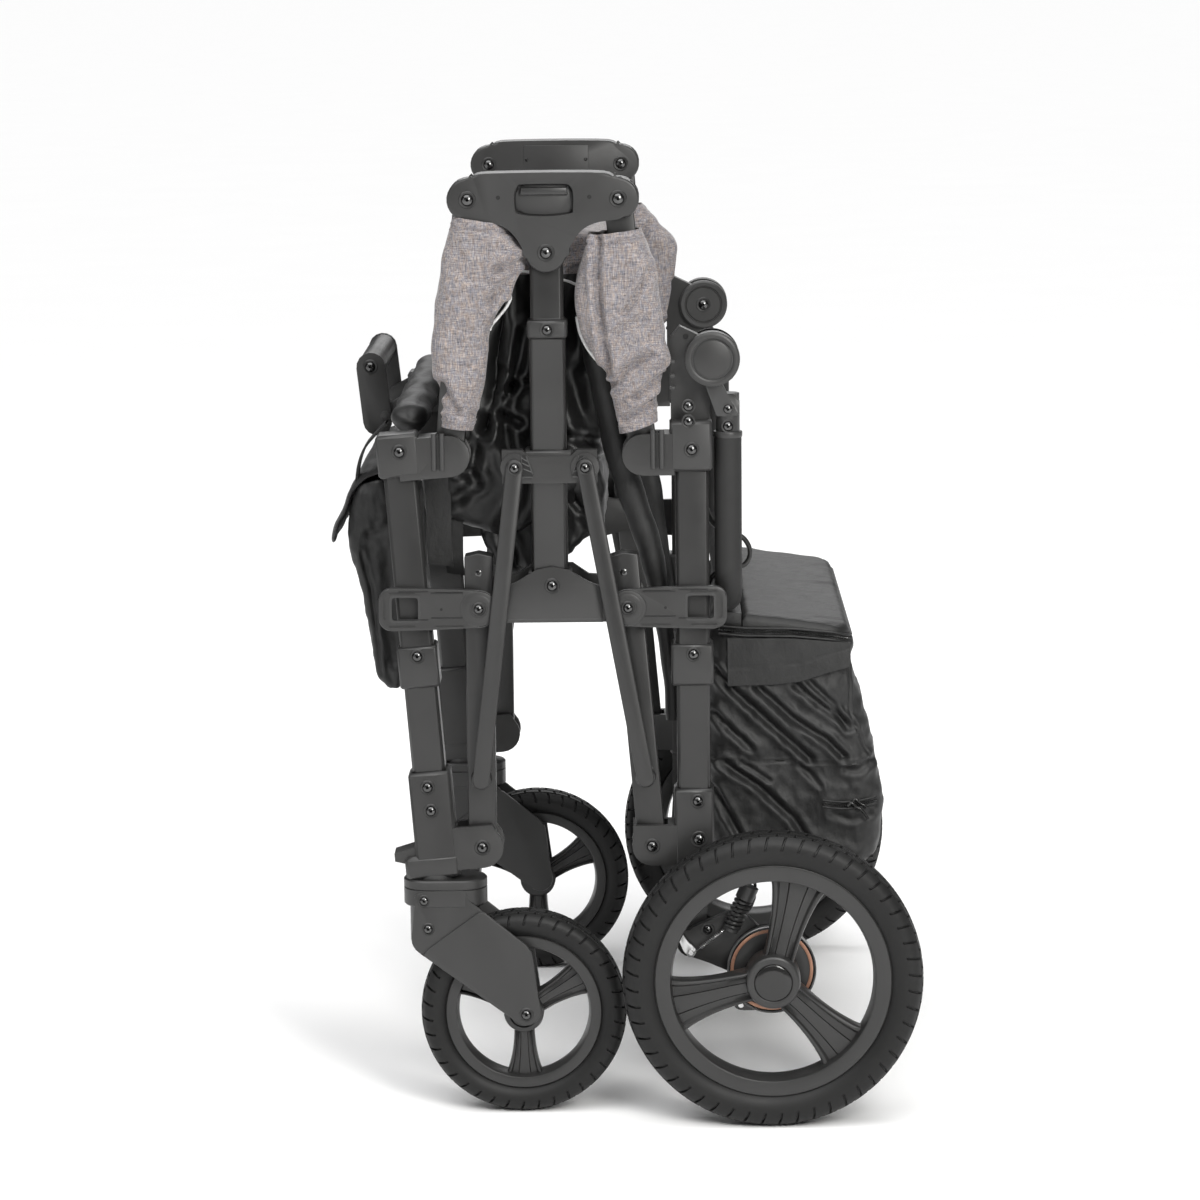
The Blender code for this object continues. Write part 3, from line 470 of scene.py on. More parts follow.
def boolean(obj, others, operation="DIFFERENCE"):
    for other in others:
        modifier = obj.modifiers.new("cut", "BOOLEAN")
        modifier.operation = operation
        modifier.object = other
        modifier.solver = "EXACT"
    bpy.context.view_layer.update()
    graph = bpy.context.evaluated_depsgraph_get()
    made = bpy.data.meshes.new_from_object(obj.evaluated_get(graph))
    obj.modifiers.clear()
    obj.data = made
    for other in others:
        bpy.data.objects.remove(other, do_unlink=True)
    made.set_sharp_from_angle(angle=math.radians(35))
    made.shade_smooth()
    return obj


def cutter(name, outline, lows):
    piece = Piece(name)
    piece.slab(outline, lows, PAINT)
    return piece.done(None)


def rectangle(x0, x1, z0, z1, corner=4.0, steps=4):
    """A rectangle's outline with round corners."""
    made = []
    for cx, cz, start in ((x1 - corner, z0 + corner, -90), (x1 - corner, z1 - corner, 0),
                          (x0 + corner, z1 - corner, 90), (x0 + corner, z0 + corner, 180)):
        for step in range(steps + 1):
            a = math.radians(start + 90 * step / steps)
            made.append((cx + corner * math.cos(a), cz + corner * math.sin(a)))
    return made


def circle(x, z, radius, start=0, end=360, steps=24):
    return [(x + radius * math.cos(math.radians(a)), z + radius * math.sin(math.radians(a)))
            for a in np.linspace(start, end, steps, endpoint=end - start < 360)]


def off_plane(side, out):
    """The depth of a spot `out` millimetres beyond the frame's middle plane."""
    return side * (FRAME_HALF + out * MM)


def depths(side, *outs):
    return sorted(off_plane(side, value) for value in outs)


def top_bracket(side, word):
    """The wide moulding that both upper rails and the centre post hang from, with its pull recess."""
    left, right, tip = (-170, 923), (-23, 923), (-94, 872)
    outline = (circle(*right, 20.5, 90, -62, 12)
               + rounded([(right[0] + 6, 904), (-30, 902), (-44, 900), (-57, 894), (-66, 884), (-71, 875)],
                         4, False)[2:]
               + circle(*tip, 20.5, -8, -172, 14)
               + rounded([(-117, 875), (-122, 884), (-131, 894), (-144, 900), (-158, 902), (-176, 904)], 4,
                         False)[:-2]
               + circle(*left, 20.5, 242, 90, 12)
               + rounded([(-166, 944), (-158, 948), (-120, 949), (-70, 949), (-36, 948), (-27, 944)], 4,
                         False))
    piece = Piece(f"top_bracket_look_{word}")
    piece.slab(outline, depths(side, -20, 20.2), MOULDED, 3.4, 3)
    obj = piece.done(None)
    half_x, half_y = 16.8, 14.0
    cuts = [cutter("post_slot", rectangle(-94 - half_x, -94 + half_x, 840, 893.6, 1),
                   depths(side, -half_y, half_y)),
            cutter("rail_slot", rectangle(right[0] - 16.5, right[0] + 60, 850, right[1] + 16.5, 1),
                   depths(side, -12.8, 12.8)),
            cutter("rail_slot", rectangle(left[0] - 60, left[0] + 16.5, 850, left[1] + 16.5, 1),
                   depths(side, -12.8, 12.8))]
    recess = rounded([(-124, 916), (-124, 930), (-121, 936), (-115, 938), (-77, 938), (-70, 936), (-67, 930),
                      (-67, 914), (-70, 909), (-95, 906.5), (-120, 909)], 4)
    cuts.append(cutter("recess", recess, depths(side, 11.5, 30)))
    boolean(obj, cuts)
    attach(obj, f"centre_{word}")
    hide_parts(f"top_bracket_{word}")
    trim = Piece(f"top_bracket_trim_{word}")
    inner = [(x * 0.955 - 4.2, 922 + (z - 922) * 0.9) for x, z in recess]
    trim.slab(inner, depths(side, 11.4, 13.4), MOULDED, 1.2)
    sloped = depths(side, 13.0, 18.6)
    trim.slab([(-119, 927), (-72, 927), (-73, 934.5), (-118, 934.5)], sloped, PAINT, 2.4)
    for x, z in ((-140, 925), (-51, 925)):
        trim.turn([(0.2, 0.35), (2.0, 0.35), (2.4, 0.0)], facing(side, x, z, 20.0), RUBBER_AND_SHADE, 12)
    trim.done(f"centre_{word}")


def arch_bracket(side, word):
    """The humped cover at the foot of the centre post, with a thin lip along its lower edge."""
    top = rounded([(-148, 534), (-140, 540), (-126, 546), (-112, 554), (-92, 559), (-72, 554), (-58, 546),
                   (-44, 540), (-36, 534)], 5, False)
    outline = [(-36, 507), (-39, 504), (-145, 504), (-148, 507)] + top
    piece = Piece(f"arch_cover_{word}")
    piece.slab(outline, depths(side, 12.9, 17.2), MOULDED, 1.8, 2)
    lip_z = 507.2
    piece.tube([at(-140, lip_z, off_plane(side, 16.9)), at(-44, lip_z, off_plane(side, 16.9))],
               0.8, MOULDED, 8)
    piece.done(f"centre_{word}")


def latch_arms(side, word):
    """Flat arms with a framed window, long grooves and a round boss."""
    for end, root_x, tip, way in (("front", -165, -264, -1), ("rear", -17, 81, 1)):
        z = 519
        near, far_edge = depths(side, 15.8, 23.0)
        outline = []
        body = rounded([(root_x, z + 18.5), (root_x + way * 30, z + 20), (tip - way * 14, z + 21.5)], 4,
                       False)
        body += circle(tip - way * 12, z + 9.5, 12, 90, 90 - 90 * way if way > 0 else 180, 6)
        outline = body + [(x, 2 * z - zz) for x, zz in reversed(body)]
        piece = Piece(f"latch_{end}_look_{word}")
        piece.slab(outline, (near, far_edge), MOULDED, 1.6, 2)
        obj = piece.done(None)
        a, b = sorted((tip - way * 11.5, tip - way * 40.5))
        hole = cutter("window", rectangle(a, b, z - 12.5, z + 13.5, 3.5), depths(side, 0, 40))
        grooves = []
        face = depths(side, 22.2, 30)
        for gx0, gx1 in ((tip - way * 10, tip - way * 36), (tip - way * 56, tip - way * 84)):
            x0, x1 = sorted((gx0, gx1))
            for gz in (z + 16.6, z - 16.6):
                grooves.append(cutter("groove", rectangle(x0, x1, gz - 0.9, gz + 0.9, 0.8, 2), face))
        x0, x1 = sorted((tip - way * 4.6, tip - way * 6.6))
        grooves.append(cutter("groove", rectangle(x0, x1, z - 10, z + 10, 0.8, 2), face))
        boolean(obj, [hole] + grooves)
        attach(obj, f"latch_{end}_{word}")
        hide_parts(f"latch_arm_{end}_{word}")
        trim = Piece(f"latch_{end}_trim_{word}")
        a, b = sorted((tip - way * 10.6, tip - way * 41.4))
        outer = rectangle(a, b, z - 13.4, z + 14.4, 4.2)
        inner = rectangle(a + 2.4, b - 2.4, z - 11.0, z + 12.0, 3.0)
        level = off_plane(side, 23.3)
        under = off_plane(side, 22.0)
        trim.skin([[at(x, zz, under) for x, zz in outer], [at(x, zz, level) for x, zz in outer],
                   [at(x, zz, level) for x, zz in inner], [at(x, zz, under) for x, zz in inner]],
                  MOULDED, False, True)
        place = facing(side, root_x, z, 22.6)
        trim.turn([(0.2, 0.6), (9, 0.6), (16.6, 0.6), (17.4, 0.2), (17.6, -1.0)], place, MOULDED, 40)
        trim.turn([(17.9, 0.2), (18.4, 0.6), (19.0, 0.2)], place, PAINT, 40)
        trim.turn([(0.2, 0.3), (1.3, 0.3), (1.6, 0.0)], facing(side, root_x + way * 37, z, 22.8), RUBBER_AND_SHADE, 12)
        trim.done(f"latch_{end}_{word}")


for word, side in SIDES.items():
    for node in SOFTENED:
        softened(f"{node}_{word}", 2.2 if "post" in node else 1.4)
    softened(f"arch_bracket_{word}", 1.2)
    bolts(side, word)
    top_bracket(side, word)
    arch_bracket(side, word)
    latch_arms(side, word)
for node in ("rear_axle_frame", "push_handle", "pull_handle"):
    softened(node, 1.2)


# ---------------------------------------------------------------- wheels and brakes

def wheel_place(joint, side):
    return Matrix.Translation(pivot(joint)) @ Matrix.Rotation(math.radians(-90 * side), 4, "X")


PITCH_STEPS = (0.0, 0.03, 0.13, 0.16, 0.5, 0.53, 0.63, 0.66)   # a lug's share of the pitch, groove by groove
ROW_GROOVES = {"crown": (1, 2), "middle": (5, 6), "shoulder": (1, 2), "smooth": ()}


def tyre(name, place, radius, seat, half, pitches, body, node):
    """A tyre with staggered lugs over the crown and curved grooves down each shoulder."""
    depth = 2.6
    side_rows = [(0.0, 0.0, "crown"), (0.15, 0.22, "crown"), (2.4, 0.235, "smooth"), (2.4, 0.30, "smooth"),
                 (0.5, 0.315, "middle"), (1.6, 0.56, "middle"), (4.0, 0.575, "smooth"), (4.2, 0.63, "smooth"),
                 (2.5, 0.645, "shoulder"), (4.6, 0.80, "shoulder"), (7.6, 0.92, "shoulder"),
                 (11.0, 0.985, "shoulder"), (14.6, 1.0, "shoulder"), (16.0, 1.0, "smooth"),
                 (20.0, 0.985, "smooth"), (24.5, 0.93, "smooth"), (28.0, 0.85, "smooth"),
                 (30.6, 0.76, "smooth"), (32.2, 0.66, "smooth")]
    tall = (radius - seat) / 32.0
    rows = [(radius - drop * tall, across * half, kind) for drop, across, kind in side_rows]
    rows = [(r, -y, kind) for r, y, kind in rows[:0:-1]] + rows
    points = np.array([(r, y) for r, y, _ in rows])
    along = np.gradient(points, axis=0)
    normals = np.stack([-along[:, 1], along[:, 0]], 1)
    normals /= np.linalg.norm(normals, axis=1)[:, None]
    inward = normals * np.where((normals[:, 0] > 0)[:, None], -1, 1)
    skin = []
    for index, (r, y, kind) in enumerate(rows):
        drop = radius - r
        slant = 0.22 * abs(y) / half + 0.012 * drop
        ring = []
        for pitch in range(pitches):
            for step, share in enumerate(PITCH_STEPS):
                cut = depth * (1.0 if drop < 9 * tall else 0.7) if step in ROW_GROOVES[kind] else 0.0
                rr = r + inward[index][0] * cut
                yy = y + inward[index][1] * cut
                a = 2 * math.pi * (pitch + share + slant) / pitches
                ring.append(place @ Vector((rr * MM * math.cos(a), rr * MM * math.sin(a), yy * MM)))
        skin.append(ring)
    piece = Piece(name)
    piece.skin(skin, RUBBER_AND_SHADE, True, True)
    return piece.done(body, 34, [node])


def wheel(name, place, seat, opening, hub, cap, half, angles, body, node, side):
    """A rim with a deep barrel, a hub with a glossy cap, and three flared spokes with a raised panel."""
    piece = Piece(name)
    ring = [(seat + 0.6, 13.2), (seat + 0.2, half - 0.6), (seat - 0.8, half), (seat - 1.0, half + 0.3),
            (opening + 3.2, half + 0.9), (opening + 1.6, half + 0.2), (opening + 0.7, half - 2),
            (opening, half - 6), (opening - 0.9, 3), (opening - 0.9, -3), (opening, 6 - half),
            (opening + 0.7, 2 - half), (opening + 1.6, -half - 0.2), (opening + 3.2, -half - 0.9),
            (seat - 1.0, -half - 0.3), (seat - 0.8, -half), (seat + 0.6, -13.2)]
    piece.turn(ring, place, WHEEL_PLASTIC, 120, True)
    face = half + 5.0
    piece.turn([(0.2, face + 1.0), (cap * 0.6, face + 0.9), (cap - 1.6, face + 0.5), (cap - 0.5, face - 0.2),
                (cap - 0.2, face - 1.4)], place, GLOSS, 64)
    piece.turn([(cap + 0.1, face - 2.0), (cap + 0.6, face - 0.3), (cap + 1.4, face + 0.1),
                (hub - 2.6, face - 0.1),
                (hub - 1.0, face - 1.2), (hub + 0.2, face - 4), (hub + 0.6, 0), (hub, 5 - half - 4),
                (hub - 2, -half - 1), (9, -half - 1.4), (9, face - 2.4)], place, WHEEL_PLASTIC, 64, True)
    section = [(-1.0, -2.0), (-1.0, 3.0), (-0.985, 6.5), (-0.93, 8.6), (-0.86, 9.2), (-0.79, 8.8),
               (-0.73, 7.2),
               (-0.69, 6.0), (-0.66, 5.9), (-0.36, 7.4), (-0.335, 6.4), (-0.31, 7.8), (0.0, 8.0), (0.31, 7.8),
               (0.335, 6.4), (0.36, 7.4), (0.66, 5.9), (0.69, 6.0), (0.73, 7.2), (0.79, 8.8), (0.86, 9.2),
               (0.93, 8.6), (0.985, 6.5), (1.0, 3.0), (1.0, -2.0)]
    section += [(b, -h) for b, h in section[-2:0:-1]]
    scale = opening / 101.0
    for angle in angles:
        turn = math.radians(angle)
        rows = []
        for t in np.linspace(0, 1, 15):
            reach = hub - 4 + t * (opening + 1.5 - hub + 4)
            wide = scale * (15.2 + 2.4 * t + 11.5 * t ** 2.6)
            rise = 1 + 0.55 * math.exp(-((t / 0.22) ** 2))
            row = []
            for b, h in section:
                u, v = reach, b * wide
                outer = math.sqrt(max(reach ** 2 - v * v, 1)) if t > 0.9 else u
                u = u + (outer - u) * max(0.0, (t - 0.9) / 0.1)
                x = u * math.cos(turn) - v * math.sin(turn)
                z = u * math.sin(turn) + v * math.cos(turn)
                row.append(pivot_at(place, side, x, z, h * rise * (0.9 if half < 16 else 1.0)))
            rows.append(row)
        piece.skin(rows, WHEEL_PLASTIC, False, True)
    return piece.done(body, 30, [node])


def pivot_at(place, side, x, z, out):
    """A point beside a hub: side-view millimetres from its centre, and millimetres outward."""
    centre = place.translation
    return Vector((centre.x + x * MM, centre.y + side * out * MM, centre.z + z * MM))


def coil(piece, start, end, radius, wire, turns, look):
    start, end = Vector(start), Vector(end)
    heading = (end - start).normalized()
    across = heading.orthogonal().normalized()
    up = heading.cross(across)
    route = []
    for step in range(turns * 12 + 1):
        a = 2 * math.pi * step / 12
        route.append(start + (end - start) * (step / (turns * 12))
                     + (across * math.cos(a) + up * math.sin(a)) * radius * MM)
    piece.tube(route, wire, look, 6)


def brake_parts(side, word):
    """The drum's rims and friction band, the coil shock, and the parking lever with its pull wire."""
    hub = wheel_place(f"rear_wheel_spin_{word}", side)
    out = -58      # the frame plane, seen from the wheel's middle plane
    drum = Piece(f"brake_drum_look_{word}")
    face = out + 27.6
    drum.turn([(44.4, face - 9), (44.9, face + 0.3), (44.0, face + 0.9), (42.9, face + 0.3)], hub, PALE, 72)
    drum.turn([(42.9, face + 0.2), (42.2, face - 0.1), (41.6, face + 0.3)], hub, GLOSS, 72)
    drum.turn([(41.6, face + 0.3), (38.8, face + 0.3), (38.2, face + 0.1)], hub, COPPER, 72)
    drum.turn([(38.2, face + 0.3), (37.4, face + 0.9), (30, face + 1.2), (22, face + 1.2)], hub, MOULDED, 72)
    drum.done(f"rear_arm_{word}")
    gear = Piece(f"shock_{word}")
    depth = off_plane(side, 20)
    top, foot = at(101, 231, depth), at(84, 193, depth)
    line = foot - top
    coil(gear, top + line * 0.22, foot, 7.6, 2.0, 7, CABLE)
    gear.tube([top - line * 0.1, top + line * 0.25], 9.4, MOULDED, 20)
    gear.tube([top, foot], 4.0, GLOSS, 14)
    gear.tube([foot - line * 0.02, foot + line * 0.1], 8.4, MOULDED, 20)
    gear.done(f"rear_arm_{word}")
    lever = Piece(f"brake_lever_{word}")
    level = 17.0
    blade = rounded([(33, 188), (30.5, 183), (33, 174), (37, 166), (43, 162), (48, 166), (46, 172),
                     (41, 176), (36, 183)], 4)
    lever.slab(blade, depths(side, level, level + 2.4), ZINC, 0.6)
    lever.turn([(0.2, 4.6), (2.6, 4.6), (3.2, 4.0), (3.2, 2.4), (5.2, 2.2), (5.4, 0)],
               facing(side, 43, 166, level), ZINC, 6)
    lever.turn([(0.2, 2.0), (2.0, 2.0), (2.4, 1.0), (2.4, 0)], facing(side, 94, 204, level + 3.2), ZINC, 16)
    lever.tube([at(91, 201, off_plane(side, 21.5)), at(98, 206, off_plane(side, 21.5))], 3.2, ZINC, 8)
    wire = [at(46 + 46 * t, 166 + 36 * t, off_plane(side, 20 + 1.5 * t)) for t in np.linspace(0, 1, 8)]
    lever.tube(wire, 0.55, ZINC, 6)
    coil(lever, wire[1], wire[5], 1.7, 0.45, 16, ZINC)
    lever.tube([at(x, z, off_plane(side, o)) for x, z, o in
                ((97, 205, 21.5), (103, 212, 21), (107, 222, 19), (108, 234, 14), (104, 250, 6),
                 (96, 262, -4))],
               1.7, CABLE, 10)
    lever.tube([at(x, z, off_plane(side, o)) for x, z, o in
                ((97, 205, 21.5), (101, 209.5, 21.2), (104.5, 214, 20.6))], 1.0, ZINC, 8)
    bolt(lever, facing(side, 60, 188, 13.4), 4.6)
    clip = rounded([(90, 118), (86, 114), (88, 109), (96, 107), (118, 108), (121, 112), (116, 117),
                    (100, 118)], 3)
    lever.slab(clip, depths(side, 20, 24), GLOSS, 0.8)
    lever.turn([(0.2, 1.4), (2.4, 1.4), (3.0, 0.8), (3.0, 0)], facing(side, 93, 112.5, 24), ZINC, 14)
    lever.done(f"rear_arm_{word}")


for word, side in SIDES.items():
    rear = wheel_place(f"rear_wheel_spin_{word}", side)
    tyre(f"rear_tyre_look_{word}", rear, 150, 118, 22.5, 52, f"rear_wheel_{word}", f"rear_tyre_{word}")
    wheel(f"rear_wheel_look_{word}", rear, 118, 101, 27, 18.6, 16.5, (75, 195, 315), f"rear_wheel_{word}",
          f"rear_wheel_{word}", side)
    front_hub = wheel_place(f"front_wheel_spin_{word}", side)
    tyre(f"front_tyre_look_{word}", front_hub, 104, 79, 20, 38, f"front_wheel_{word}", f"front_tyre_{word}")
    wheel(f"front_wheel_look_{word}", front_hub, 79, 66.5, 20, 13.5, 14.5, (30, 150, 270),
          f"front_wheel_{word}",
          f"front_wheel_{word}", side)
    brake_parts(side, word)


# ---------------------------------------------------------------- cloth

def folds(x, z, lines):
    """Millimetres of relief from folds, each given as (points, width, depth); depth below zero is a ridge."""
    relief = np.zeros_like(x)
    for points, width, depth in lines:
        nearest = np.full_like(x, 1e9)
        for (x0, z0), (x1, z1) in zip(points, points[1:]):
            dx, dz = x1 - x0, z1 - z0
            t = np.clip(((x - x0) * dx + (z - z0) * dz) / (dx * dx + dz * dz), 0, 1)
            nearest = np.minimum(nearest, np.hypot(x - x0 - t * dx, z - z0 - t * dz))
        relief -= depth * np.exp(-((nearest / width) ** 2))
        relief += 0.55 * depth * np.exp(-(((nearest - 1.9 * width) / width) ** 2))
    return relief


def crumple(points, scale, seed, octaves=3):
    """Noise at each point, from -1 to 1; scale is three sizes in millimetres."""
    offset = Vector((seed * 7.3, seed * 3.1, seed * 5.7))
    flat = points.reshape(-1, 3)
    values = [noise.fractal(Vector((p[0] / scale[0], p[1] / scale[1], p[2] / scale[2])) + offset, 0.7, 2.1,
                            octaves)
              for p in flat]
    return np.array(values).reshape(points.shape[:-1])


def soft_body(name, left, right, half_y, look, body, levels=90, face=64, edge=26, corner=14.0, lines=(),
              middle=0.0, swell=0.0, noise_size=(26, 60, 40), noise_depth=2.2, seed=1, nodes=(),
              paint=None, pinch=0.0, close=True):
    """A filled or folded cloth shape between two side-view lines.

    Each level is a ring: the near face, the rear edge, the far face and the front edge, with round corners.
    half_y and middle are depths in millimetres, swell bows the faces out, pinch draws the ends in.
    """
    left, right = resampled(left, levels), resampled(right, levels)
    share = np.linspace(0, 1, levels)
    rings = np.zeros((levels, 2 * face + 2 * edge, 3))
    for i in range(levels):
        a, b = left[i], right[i]
        width = max(np.linalg.norm(b - a), 1e-3)
        r = min(corner, width * 0.49)
        draw = 1 - pinch * max(0.0, 1 - min(share[i], 1 - share[i]) / 0.12) ** 2
        half = half_y * draw
        ring = []
        inner = width / 2 - r
        for k in range(face):
            u = math.sin((k / (face - 1) - 0.5) * math.pi)
            across = u * (width / 2)
            over = max(abs(across) - inner, 0.0)
            ring.append((across, -(half - r + math.sqrt(max(r * r - over * over, 0.0)))))
        straight = half - r
        for k in range(edge):
            ring.append((width / 2, straight * (-1 + 2 * (k + 0.5) / edge)))
        ring = ring + [(-u, -v) for u, v in ring]
        for k, (u, v) in enumerate(ring):
            t = u / width + 0.5
            spot = a + (b - a) * t
            rings[i, k] = (spot[0], v + middle, spot[1])
    x, y, z = rings[..., 0], rings[..., 1], rings[..., 2]
    du = np.roll(rings, -1, 1) - np.roll(rings, 1, 1)
    dv = np.gradient(rings, axis=0)
    normal = np.cross(dv, du)
    normal /= np.maximum(np.linalg.norm(normal, axis=2), 1e-9)[..., None]
    centre = rings.mean(axis=1, keepdims=True)
    if ((rings - centre) * normal).sum() < 0:
        normal = -normal
    lumps = crumple(rings, noise_size, seed)
    relief = noise_depth * lumps
    near_side = np.clip(-(y - middle) / half_y * 3 - 0.6, 0, 1)
    far_side = np.clip((y - middle) / half_y * 3 - 0.6, 0, 1)
    relief += folds(x, z, lines) * near_side + folds(x, z, lines) * far_side
    if swell:
        bow = np.sin(np.clip(share, 0, 1) * math.pi)[:, None] * (near_side + far_side)
        relief += swell * bow * (0.6 + 0.4 * lumps)
    rings = rings + normal * relief[..., None]
    points = [[at(p[0], p[2], p[1] * MM) for p in ring] for ring in rings]
    piece = Piece(name)
    grid = piece.skin(points, look, False, True)
    if close:
        for row in (grid[0], grid[-1]):
            spot = sum((v.co for v in row), Vector()) / len(row)
            ring_in = [piece.bm.verts.new(v.co.lerp(spot, 0.5)) for v in row]
            tip = piece.bm.verts.new(spot)
            faces = []
            for k in range(len(row)):
                m = (k + 1) % len(row)
                faces.append(piece.bm.faces.new((row[k], row[m], ring_in[m], ring_in[k])))
                faces.append(piece.bm.faces.new((ring_in[k], ring_in[m], tip)))
            piece.paint(faces, look)
    else:
        thick = 1.6
        inside = [[at(p[0] - n[0] * thick, p[2] - n[2] * thick, (p[1] - n[1] * thick) * MM)
                   for p, n in zip(ring, norm)] for ring, norm in zip(rings, normal)]
        lining = piece.skin(inside, look, False, True)
        faces = []
        for a, b in ((grid[0], lining[0]), (grid[-1], lining[-1])):
            for k in range(len(a)):
                m = (k + 1) % len(a)
                faces.append(piece.bm.faces.new((a[k], a[m], b[m], b[k])))
        piece.paint(faces, look)
    if paint:
        piece.bm.faces.ensure_lookup_table()
        paint(piece)
    return piece.done(body, 80, nodes)


def sleeve(end, side, word, left, right, lines, body, seed):
    """A heather cover around an upper rail, open at both ends, with a stitched hem at each end."""
    if right is FAR_REAR_RIGHT:
        left = [(-51, 873)] + left[2:]
    lines = [(points, width, depth * 1.3) for points, width, depth in lines]
    hems = []
    for share in (0.055, 0.955):
        i = int(share * 100)
        a, b = resampled(left, 101)[i], resampled(right, 101)[i]
        hems.append(([tuple(a), tuple(b)], 1.5, 1.5))
    made = soft_body(f"rail_sleeve_look_{end}_{word}", left, right, 23.5, HEATHER, body, levels=110, face=54,
                     edge=12, corner=20, lines=lines + hems, middle=side * FRAME_HALF / MM, swell=2.5,
                     noise_size=(34, 30, 60), noise_depth=1.5, seed=seed, nodes=[f"rail_sleeve_{end}_{word}"],
                     close=False)
    return made


FRONT_LEFT = [(-185, 907), (-189, 891), (-194, 872), (-198, 849), (-203, 822), (-205, 796), (-207, 772),
              (-208, 756), (-206, 748), (-201, 738), (-199, 724), (-199, 710), (-200, 700)]
FRONT_RIGHT = [(-136, 899), (-127, 888), (-120, 879), (-114, 869), (-115, 860), (-122, 848), (-130, 833),
               (-140, 816), (-150, 796), (-153, 774), (-155, 756), (-159, 734), (-164, 715), (-168, 696)]
REAR_LEFT = [(-51, 887), (-59, 866), (-64, 845), (-66, 824), (-64, 806), (-60, 788), (-50, 771), (-38, 756),
             (-32, 739), (-29, 719), (-25, 703), (-23, 691)]
REAR_RIGHT = [(-2, 893), (6, 875), (14, 851), (18, 820), (21, 797), (22, 781), (27, 763), (21, 756),
              (17, 742),
              (15, 733), (13, 725), (14, 703)]
FAR_REAR_RIGHT = [(0, 877), (8, 868), (20, 855), (34, 842), (40, 829), (39, 815), (36, 798), (35, 776),
                  (31, 757),
                  (23, 744), (16, 733), (13, 722), (14, 703)]
FRONT_FOLDS = [([(-142, 855), (-128, 858), (-114, 864)], 4.5, 5.0),
               ([(-149, 823), (-138, 838), (-124, 852)], 4.5, 4.5),
               ([(-146, 808), (-136, 822)], 3.5, 2.5), ([(-199, 742), (-192, 728), (-184, 718)], 5, 3.2),
               ([(-196, 719), (-182, 716), (-168, 712)], 4, 2.2), ([(-186, 880), (-170, 850)], 9, 1.6),
               ([(-190, 800), (-172, 760)], 10, 1.6)]
REAR_FOLDS = [([(-42, 884), (-44, 850), (-42, 815), (-38, 782), (-32, 752)], 3.6, 6.0),
              ([(-17, 812), (-2, 836), (8, 855)], 3.5, 3.2),
              ([(-31, 740), (-16, 757), (6, 770)], 4.2, 4.2), ([(-8, 728), (6, 740), (18, 748)], 3.6, 3.8),
              ([(-20, 706), (-4, 716), (13, 726)], 3.2, 3.0), ([(-28, 790), (-14, 800), (2, 806)], 5, 1.8),
              ([(0, 800), (12, 780)], 6, 1.6)]


def panel_edges(side, word):
    """The folded side panels' edges: heather above, white piping, and a long black roll to the foot."""
    inner = off_plane(side, -27)
    route = [(-47, 788), (-46, 772), (-42, 752), (-34, 716), (-27, 676), (-17, 640), (-6, 606), (4, 576),
             (10, 548), (16, 510),
             (22, 470), (26, 430), (27, 396)]
    line = [at(x, z, inner) for x, z in rounded(route, 6, False)]
    widths = np.interp(np.linspace(0, 1, len(line)), [0, 0.25, 0.62, 0.75, 1], [14.5, 14.6, 12.5, 9.0, 7.0])
    widths = widths + 0.35 * np.sin(np.linspace(0, 60, len(line)))
    low = Piece(f"panel_roll_black_{word}")
    low.tube(line, widths, CLOTH, 28)
    obj = low.done(f"centre_{word}")
    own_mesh(obj)
    trim = Piece(f"piping_rear_{word}")
    near_roll = [(-65, 806), (-62, 790), (-55, 775), (-46, 763), (-37, 754), (-33, 747)]
    trim.tube([at(x, z, off_plane(side, -3)) for x, z in rounded(near_roll, 5, False)], 1.6, PIPING, 10)
    trim.done(f"upper_rear_{word}")
    trim = Piece(f"piping_front_{word}")
    near_lobe = [(-131, 829), (-130, 824), (-134, 816), (-142, 806), (-149, 798), (-151, 793)]
    trim.tube([at(x, z, off_plane(side, -6)) for x, z in rounded(near_lobe, 5, False)], 1.5, PIPING, 10)
    trim.done(f"upper_front_{word}")
    trim = Piece(f"piping_cabin_{word}")
    trim.tube([at(x, z, off_plane(side, -30))
               for x, z in rounded([(-130, 848), (-121, 849), (-112, 848)], 4, False)],
              1.3, PIPING, 8)
    trim.tube([at(x, z, off_plane(side, -30))
               for x, z in rounded([(-80, 840), (-72, 838), (-62, 833)], 4, False)],
              1.3, PIPING, 8)
    trim.done(f"centre_{word}")


CABIN_LEFT = [(-152, 880), (-152, 850), (-150, 815), (-164, 785), (-170, 750), (-172, 715), (-182, 692),
              (-196, 672), (-208, 650), (-214, 630), (-212, 614), (-200, 602), (-182, 595)]
CABIN_RIGHT = [(-46, 882), (-40, 850), (-36, 815), (-36, 780), (-36, 745), (-38, 710), (-44, 680), (-52, 655),
               (-62, 632), (-74, 612), (-92, 600), (-112, 592), (-130, 584)]
CABIN_FOLDS = [([(-140, 860), (-141, 819), (-145, 771), (-148, 740), (-151, 717), (-157, 690)], 6, 12),
               ([(-117, 790), (-122, 760), (-132, 736)], 5, 7),
               ([(-132, 736), (-142, 707), (-125, 698)], 5, 9),
               ([(-132, 733), (-119, 739), (-108, 742)], 4, 6), ([(-139, 752), (-144, 733)], 4, 6),
               ([(-141, 704), (-137, 680), (-133, 660)], 6, 8), ([(-76, 760), (-66, 720), (-50, 679)], 9, 8),
               ([(-77, 684), (-53, 676)], 5, 6), ([(-60, 840), (-66, 800), (-62, 760)], 8, 9),
               ([(-100, 870), (-104, 820), (-100, 760), (-92, 700), (-96, 640)], 9, 7),
               ([(-200, 660), (-184, 650), (-166, 640)], 6, 7),
               ([(-200, 616), (-186, 622), (-172, 634)], 6, 4),
               ([(-160, 700), (-166, 680), (-172, 650)], 6, 7),
               ([(-120, 650), (-126, 620), (-140, 596)], 7, 7)]
